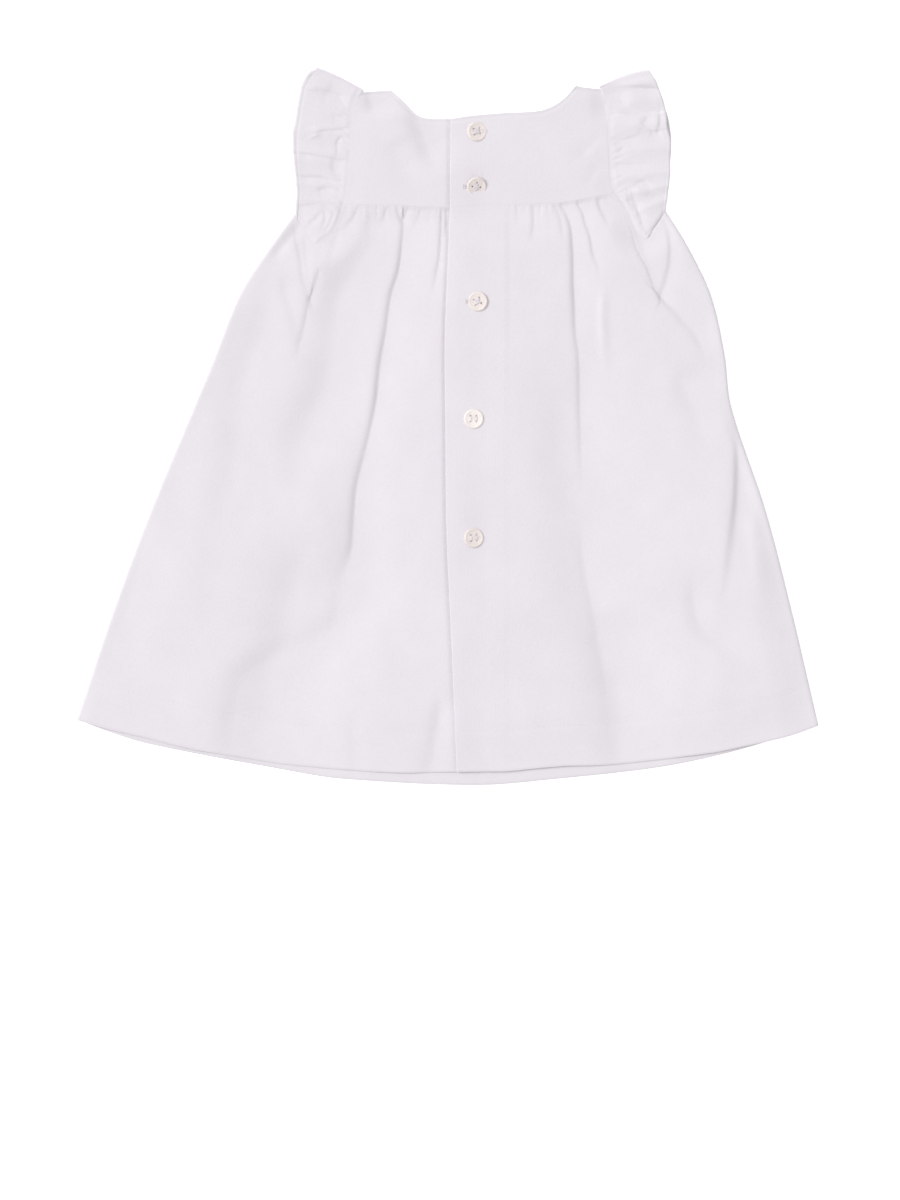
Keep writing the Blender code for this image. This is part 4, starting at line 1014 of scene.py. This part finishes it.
def makeRuffle(side, seam, edge, neighbours):
    s = ruffle
    outward = 1 if side == "right" else -1
    wall, half = cloth["wall"], cloth["sheet"] / 2
    inner = [(x + outward * s["clearance"], y + 1.6 * s["clearance"]) for x, y in seam]
    radius = (wall + s["air"]) / 2
    middle = wall / 2 + radius
    tip, shoulder = np.array(edge[-1]), np.array(inner[-1])
    along = (tip - shoulder) / np.hypot(*(tip - shoulder))
    normal = outward * np.array([-along[1], along[0]])
    width, rim = s["width"], np.array(s["edgeRim"])
    middleSteps = np.linspace(2.7, width - 3.4, s["columns"] - 13)
    across = np.concatenate((s["seamRim"], middleSteps, width - rim[::-1])) / width
    thickAcross = 1 - edgeDrop((1 - across) * width, cloth["sheet"], 0.85)
    seamLength = stretches(curveAt(inner, np.linspace(0, 1, 60)))[0].sum()
    rimRows = rim / seamLength
    backShares = np.concatenate((rimRows, np.linspace(3.2 / seamLength, 1, s["backRows"])))
    frontShares = np.concatenate((np.linspace(1, 3.2 / seamLength, s["frontRows"]), rimRows[::-1]))

    def planAt(share, recess=0, pushed=0):
        # the points from under the yoke to the loose edge at one share of the seam, and their reach
        start, end = curveAt(inner, share), curveAt(edge, share)
        step = curveAt(inner, min(share + 0.01, 1)) - curveAt(inner, max(share - 0.01, 0))
        step = step / np.hypot(*step)
        inwards = np.array([-step[1], step[0]]) * (outward if step[1] > 0 else -outward)
        tucked = start + inwards * s["tuckIn"]
        points = tucked + (end - tucked) * across[:, None]
        points[:, 0] += outward * (pushed - recess) * across**4
        points[:, 1] -= s["endReach"][side] * smoothStep(1 - share * seamLength / 5)
        bowed = s["bow"][side] * np.sin(0.9 * pi * across**1.2) * smoothStep((share - 0.88) / 0.12)
        return points + normal * bowed[:, None], np.hypot(*(end - tucked))

    def smoothed(levels, count):
        return np.convolve(np.pad(levels, count // 2, mode="edge"), np.full(count, 1 / count), "valid")

    # the levels of the yoke and the skirt just inside the seam, and of the skirt at the lower end
    seamShares = np.linspace(0, 1, 60)
    starts = [curveAt(seam, share) for share in seamShares]
    seamTops = smoothed([neighbours(x - outward * 0.7, y - 0.5) for x, y in starts], 3)
    endLevels = smoothed([neighbours(x, y - 2.5) for x, y in planAt(0)[0]], 9) + s["endRise"][side]

    def profileAt(share, reach, out):
        # the level of the back half from its inner edge to its loose edge
        seamLevel = np.interp(share, seamShares, seamTops) - half - s["seamStep"]
        climb = s["climb"] + s["shoulderClimb"][side] * smoothStep((share - 0.72) / 0.16)
        level = seamLevel + (s["level"] - seamLevel) * smoothStep(out / climb)
        level = level - 0.95 * smoothStep(-(out + 1.15) / 0.4)
        atEnd = smoothStep(1 - share * seamLength / 14)
        level = level + (endLevels - s["level"]) * atEnd * smoothStep(out / 4)
        endDrop = edgeDrop(share * seamLength, 0.9, s["endDrop"][side])
        return level - edgeDrop((1 - across) * reach, 1.6, 0.5) - endDrop

    upperRows, lowerRows = [], []

    def addRow(points, z, share, up):
        thick = half * np.minimum(thickAcross, 1 - edgeDrop(share * seamLength, cloth["sheet"], 0.85))
        upperRows.append(np.column_stack((points, z + up * thick)))
        lowerRows.append(np.column_stack((points, z - up * thick)))

    looseLevels = []
    for share in backShares:
        points, reach = planAt(share)
        nearTurn = smoothStep((1 - share) * 12)
        lift = waveHeight(ruffleWaves[side], across, points[:, 1])
        lift = lift + foldField(ruffleFolds[side], points[:, 0], points[:, 1])
        lift = lift + rufflePuckers(across, share * seamLength, s["seed"][side], seamLength)
        recess = sum(depth * bell(points[-1, 1] - y, w) for y, w, depth in edgeRecess[side])
        points, reach = planAt(share, recess, s["edgeWobble"] * np.clip(lift[-1], 0, 1) * nearTurn)
        out, inHem = across * reach - s["tuckIn"], (1 - across) * reach
        hemForm = smoothStep((s["hem"] + 0.2 - inHem) / 0.5) - bell(inHem - s["hem"] - 0.3, 0.5)
        lift += s["hemDepth"][side] * hemForm
        lift = np.maximum(lift, -s["seamRelief"] - 1.4 * smoothStep(out / 14))
        z = profileAt(share, reach, out) + lift * smoothStep(out / 3.6) * (0.35 + 0.65 * nearTurn)
        z = (middle + radius) + (z - middle - radius) * (0.25 + 0.75 * nearTurn)
        z = np.maximum(z, 1.9 + half)
        looseLevels.append(z[-1])
        addRow(points, z, share, 1)
    points = planAt(1)[0]
    for step in range(1, s["turnRows"]):
        angle = pi * step / s["turnRows"]
        for sign, rows in ((1, upperRows), (-1, lowerRows)):
            out = (radius + sign * half * thickAcross) * sin(angle)
            z = middle + (radius + sign * half * thickAcross) * cos(angle)
            rows.append(np.column_stack((points + normal * out[:, None], z)))
    for share in frontShares:
        nearTurn = smoothStep((1 - share) * 12)
        loose = np.interp(share, backShares, looseLevels) - cloth["sheet"] - s["layerGap"] - half
        rise = np.maximum(loose - wall / 2, 0) * smoothStep((across - 0.35) / 0.65) * nearTurn
        addRow(planAt(share)[0], wall / 2 + rise, share, -1)
    return sheetMesh(f"ruffle_{side}", "ruffle", np.array(upperRows), np.array(lowerRows), s["flat"])


ruffleLeft = makeRuffle("left", underarmLeft[3::-1] + armholeLeft[::-1][1:], ruffleEdgeLeft,
                        surfaceOf(backYokeLeft, backSkirtLeft))
ruffleRight = makeRuffle("right", underarmRight[3::-1] + armholeRight[::-1][1:], ruffleEdgeRight,
                         surfaceOf(backYokeRight, backSkirtRight))
print("ruffles made")


# turn, tilt and lean (the way that it leans) are in degrees, up is how far it stands off the cloth,
# hole is the buttonhole's centre from it, and sewn says how its thread runs
Button = namedtuple("Button", "node turn tilt lean up hole holeLength sewn")

buttonSettings = {
    "radius": 6,
    "thickness": 1.35,
    "rim": 1.2,
    "dish": 0.3,
    "holeRadius": 0.52,
    "holeSpacing": 3.3,
    "thread": 0.4,
    "holeWidth": 2.6,  # of the buttonhole
    "slit": 0.56,
    "satinPitch": 0.42,
}

buttonRows = [
    Button("button_1", 8, 7, 20, -0.5, 0, 12.6, "crossed"),
    Button("button_2", 40, 19, -70, -0.15, -1.2, 15, "crossed"),
    Button("button_3", 20, 5, 200, -0.45, -1.2, 13.5, "crossed"),
    Button("button_4", 0, 1, 0, -0.5, 0, 12.6, "barred"),
    Button("button_5", 4, 7, 10, -0.45, 0, 12.6, "barred"),
]


def buttonBody(name, material):
    s = buttonSettings
    r, t, rim = s["radius"], s["thickness"], s["radius"] - s["rim"]
    dish = t - s["dish"]
    profile = [
        (0, dish), (rim - 1.1, dish), (rim - 0.5, dish + 0.08), (rim - 0.1, t - 0.08), (rim + 0.3, t),
        (r - 0.7, t - 0.03), (r - 0.25, t - 0.25), (r, t - 0.7), (r - 0.15, t - 1.1), (r - 0.9, 0.12),
        (r - 1.5, 0), (0, 0),
    ]
    bm = bmesh.new()
    verts = [bm.verts.new((x, 0, z)) for x, z in profile]
    edges = [bm.edges.new(pair) for pair in zip(verts, verts[1:])]
    bmesh.ops.spin(bm, geom=verts + edges, cent=(0, 0, 0), axis=(0, 0, 1), angle=2 * pi, steps=64,
                   use_merge=True)
    bmesh.ops.remove_doubles(bm, verts=bm.verts[:], dist=0.001)
    body = finishMesh(name, bm, material, 50)
    bm = bmesh.new()
    for x in (-0.5, 0.5):
        for y in (-0.5, 0.5):
            at = Matrix.Translation((x * s["holeSpacing"], y * s["holeSpacing"], t / 2))
            bmesh.ops.create_cone(bm, cap_ends=True, segments=20, radius1=s["holeRadius"],
                                  radius2=s["holeRadius"], depth=2 * t, matrix=at)
    cutter = finishMesh("buttonHoles", bm, material)
    cut = body.modifiers.new("holes", "BOOLEAN")
    cut.operation = "DIFFERENCE"
    cut.object = cutter
    bpy.context.view_layer.update()
    cutMesh = bpy.data.meshes.new_from_object(body.evaluated_get(bpy.context.evaluated_depsgraph_get()))
    body.modifiers.clear()
    body.data = cutMesh
    bpy.data.objects.remove(cutter)
    return body


def buttonThread(name, sewn):
    # loops of thread over the dish, crossed or side by side, and down through the four holes
    s = buttonSettings
    bm = bmesh.new()
    h, floor = s["holeSpacing"] / 2, s["thickness"] - s["dish"]
    for sign, rise in ((1, 0.12), (-1, 0.04)):
        for strand in (-0.36, 0, 0.36):
            points = []
            for k in range(11):
                t = -1 + 0.2 * k
                z = floor + (rise + s["thread"] / 2) * (1 - t**4) - 1.2 * max(abs(t) - 0.8, 0) * 5
                if sewn == "crossed":
                    points.append((t * h - sign * strand * 0.8, sign * t * h + strand * 0.8, z))
                else:
                    points.append((sign * h + strand * 0.9, t * h, z - 0.15))
            tubeMesh(bm, points, s["thread"] / 2, 7)
    return finishMesh(name, bm, whiteThread)


def buttonhole(name, x, y, length, surface):
    # a slit, drawn as a thin dark lens of painted shade on the cloth, with a ring of satin stitches round
    # it
    s = buttonSettings
    inner, outer = s["slit"] / 2, s["holeWidth"] / 2
    straight = length - s["holeWidth"]
    count = int(straight / s["satinPitch"])
    draw = np.random.default_rng(int(abs(y) * 10))
    bm = bmesh.new()

    def stitch(start, end):
        middle = (Vector(start) + Vector(end)) / 2
        points = []
        for (dx, dy), up in ((start, -0.08), (middle, 0.16), (end, -0.08)):
            points.append((x + dx, y + dy, surface(x + dx, y + dy) + up))
        tubeMesh(bm, points, 0.2, 6)

    for side in (1, -1):
        for k in range(count + 1):
            at = -straight / 2 + straight * k / count + draw.uniform(-0.04, 0.04)
            stitch((at, side * inner), (at, side * (outer + draw.uniform(-0.1, 0.1))))
    for side in (1, -1):
        for k in range(7):
            at = -outer + 2 * outer * k / 6
            stitch((side * (straight / 2 - 0.2), at), (side * (length / 2 + 0.1), at * 0.9))
    ring = finishMesh(f"{name}_stitches", bm, whiteThread)
    # the slit is not cut: a thin lens on the cloth's top, coloured with painted shade
    bm = bmesh.new()
    rim = [(x + cos(a) * straight / 2 * 1.02, y + sin(a) * inner * 1.1)
           for a in (2 * pi * k / 24 for k in range(24))]
    low, high = ([bm.verts.new((px, py, surface(px, py) + up)) for px, py in rim]
                 for up in (-0.05, 0.05))
    bm.faces.new(high)
    bm.faces.new(low[::-1])
    for k in range(24):
        bm.faces.new((low[k], low[(k + 1) % 24], high[(k + 1) % 24], high[k]))
    return ring, finishMesh(f"{name}_slit", bm, buttonholeShade)


def rightBackTop(x, y):
    # the top of the right back at one point
    px, py = np.array([[x]]), np.array([[y]])
    if y > yOfSeam(px)[0, 0]:
        lift = keptUp(yokeRise(px, py))
    else:
        lift = skirtLift(px, py, skirtForms(skirtFolds, px, py))
    return float((backLevel + lift + lapForm("right", px, py))[0, 0])


for row in buttonRows:
    low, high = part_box(row.node)
    centre = Vector(((low.x + high.x) / 2, (low.y + high.y) / 2, 0))
    centre.z = (rightBackTop(centre.x / mm, centre.y / mm) + row.up) * mm
    body = buttonBody(f"{row.node}_resin", paleResin if row.node == "button_4" else buttonResin)
    threads = buttonThread(f"{row.node}_thread", row.sewn)
    lean = radians(row.lean)
    tilt = Matrix.Rotation(radians(row.tilt), 4, Vector((-sin(lean), cos(lean), 0)))
    place = Matrix.Translation(centre) @ tilt @ Matrix.Rotation(radians(row.turn), 4, "Z")
    for piece in (body, threads):
        piece.data.transform(place)
        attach(piece, "root")
    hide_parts(row.node)
    ring, slit = buttonhole(f"buttonhole_{row.node[-1]}", centre.x / mm + row.hole, centre.y / mm,
                            row.holeLength, rightBackTop)
    for piece in (ring, slit):
        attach(piece, "root")
print("buttons made")


stitching = {"length": 2.4, "pitch": 3.1, "thread": 0.22}


def stitchRow(name, points, surface):
    # a row of lockstitches along a line of plan points, each a little arch that dips into the cloth
    s = stitching
    line = np.array(points, float)
    knots = stretches(line)[1]
    bm = bmesh.new()
    at = 1
    while at + s["length"] < knots[-1]:
        spots = []
        for share, up in ((0, -0.12), (0.2, -0.01), (0.5, 0.02), (0.8, -0.01), (1, -0.12)):
            here = at + share * s["length"]
            px, py = np.interp(here, knots, line[:, 0]), np.interp(here, knots, line[:, 1])
            spots.append((px, py, surface(px, py) + up))
        tubeMesh(bm, spots, s["thread"] / 2, 5)
        at += s["pitch"]
    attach(finishMesh(name, bm, whiteThread), "root")


rightTop, leftTop = surfaceOf(backSkirtRight), surfaceOf(backSkirtLeft)
facingLine = [(placket["facing"] - 0.6, y) for y in np.linspace(131, -205, 60)]
stitchRow("facing_stitches_skirt", facingLine, rightTop)


def hemLine(runs, inset):
    line = edgeAt(runs, np.linspace(0.004, 0.996, 120))
    step = np.gradient(line, axis=0)
    step /= np.hypot(*step.T)[:, None]
    return line + np.column_stack((-step[:, 1], step[:, 0])) * inset


rightHem = hemLine([(hemLap, 6), (hemRight, 24), (hemSideRight, 10)], hem["inset"])
leftHem = hemLine([(hemSideLeft, 10), (hemLeft, 24)], hem["inset"])
stitchRow("hem_stitches_right", rightHem[rightHem[:, 0] < hem["ends"]], rightTop)
stitchRow("hem_stitches_left", leftHem[leftHem[:, 0] > -hem["ends"]], leftTop)
print("stitches made")


studio = {
    "frameWidth": 540,  # mm of floor across the picture
    "frameHeight": 720,
    "centre": (1.56, -104.1),
    "lens": 85,
    "sensor": 36,
    "clothHeight": 5,  # mm, the level that the scale is true for
    "keyPower": 4000,
    "keyDistance": 24,  # m, so that both sides get the same light
    "keyAzimuth": 160,  # degrees from +X, so the light comes over the upper left
    "keyElevation": 44,
    "keySize": 16,
    "glow": 0.45,  # of the floor
    "fill": 0.70,  # strength of the white surroundings
}


def makeFloor():
    # a light table: opal acrylic, lit a little from below so that shadows wash out
    settings = {"Roughness": 0.9, "Specular IOR Level": 0.2, "Emission Color": (1, 1, 1, 1),
                "Emission Strength": studio["glow"]}
    made, tree, shader, place = startMaterial("opalAcrylicFloor", settings)
    grain = addNode(tree, "ShaderNodeTexNoise", {"Scale": 900}, {"Vector": place})
    ramp = addNode(tree, "ShaderNodeValToRGB", {"tones": [(0, "#fbfbfb"), (1, "#fdfdfd")]},
                   {"Fac": grain.outputs["Fac"]})
    tree.links.new(ramp.outputs["Color"], shader["Base Color"])
    bpy.ops.mesh.primitive_plane_add(size=30, location=(0, 0, -0.0002))
    floor = bpy.context.object
    floor.name = "light_table"
    floor.data.materials.append(made)
    floor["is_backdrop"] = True


def makeLight():
    s = studio
    lamp = bpy.data.lights.new("keyPanel", "AREA")
    lamp.energy = s["keyPower"]
    lamp.size = s["keySize"]
    lamp.shape = "DISK"
    key = bpy.data.objects.new("keyPanel", lamp)
    azimuth, elevation = radians(s["keyAzimuth"]), radians(s["keyElevation"])
    direction = Vector((cos(azimuth) * cos(elevation), sin(azimuth) * cos(elevation), sin(elevation)))
    key.location = direction * s["keyDistance"]
    key.rotation_mode = "QUATERNION"
    key.rotation_quaternion = direction.to_track_quat("Z", "Y")
    bpy.context.scene.collection.objects.link(key)
    world = bpy.data.worlds.new("studioWhite")
    world.use_nodes = True
    back = world.node_tree.nodes["Background"]
    back.inputs["Color"].default_value = (1, 1, 1, 1)
    back.inputs["Strength"].default_value = s["fill"]
    bpy.context.scene.world = world


def makeCamera():
    s = studio
    data = bpy.data.cameras.new("overhead")
    data.lens = s["lens"]
    data.sensor_width = s["sensor"]
    data.dof.use_dof = False
    camera = bpy.data.objects.new("overhead", data)
    away = s["lens"] / s["sensor"] * s["frameHeight"] + s["clothHeight"]
    camera.location = (s["centre"][0] * mm, s["centre"][1] * mm, away * mm)
    bpy.context.scene.collection.objects.link(camera)
    bpy.context.scene.camera = camera


makeFloor()
makeLight()
makeCamera()
bpy.context.scene.view_settings.view_transform = "Standard"
print("studio made")

low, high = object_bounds()
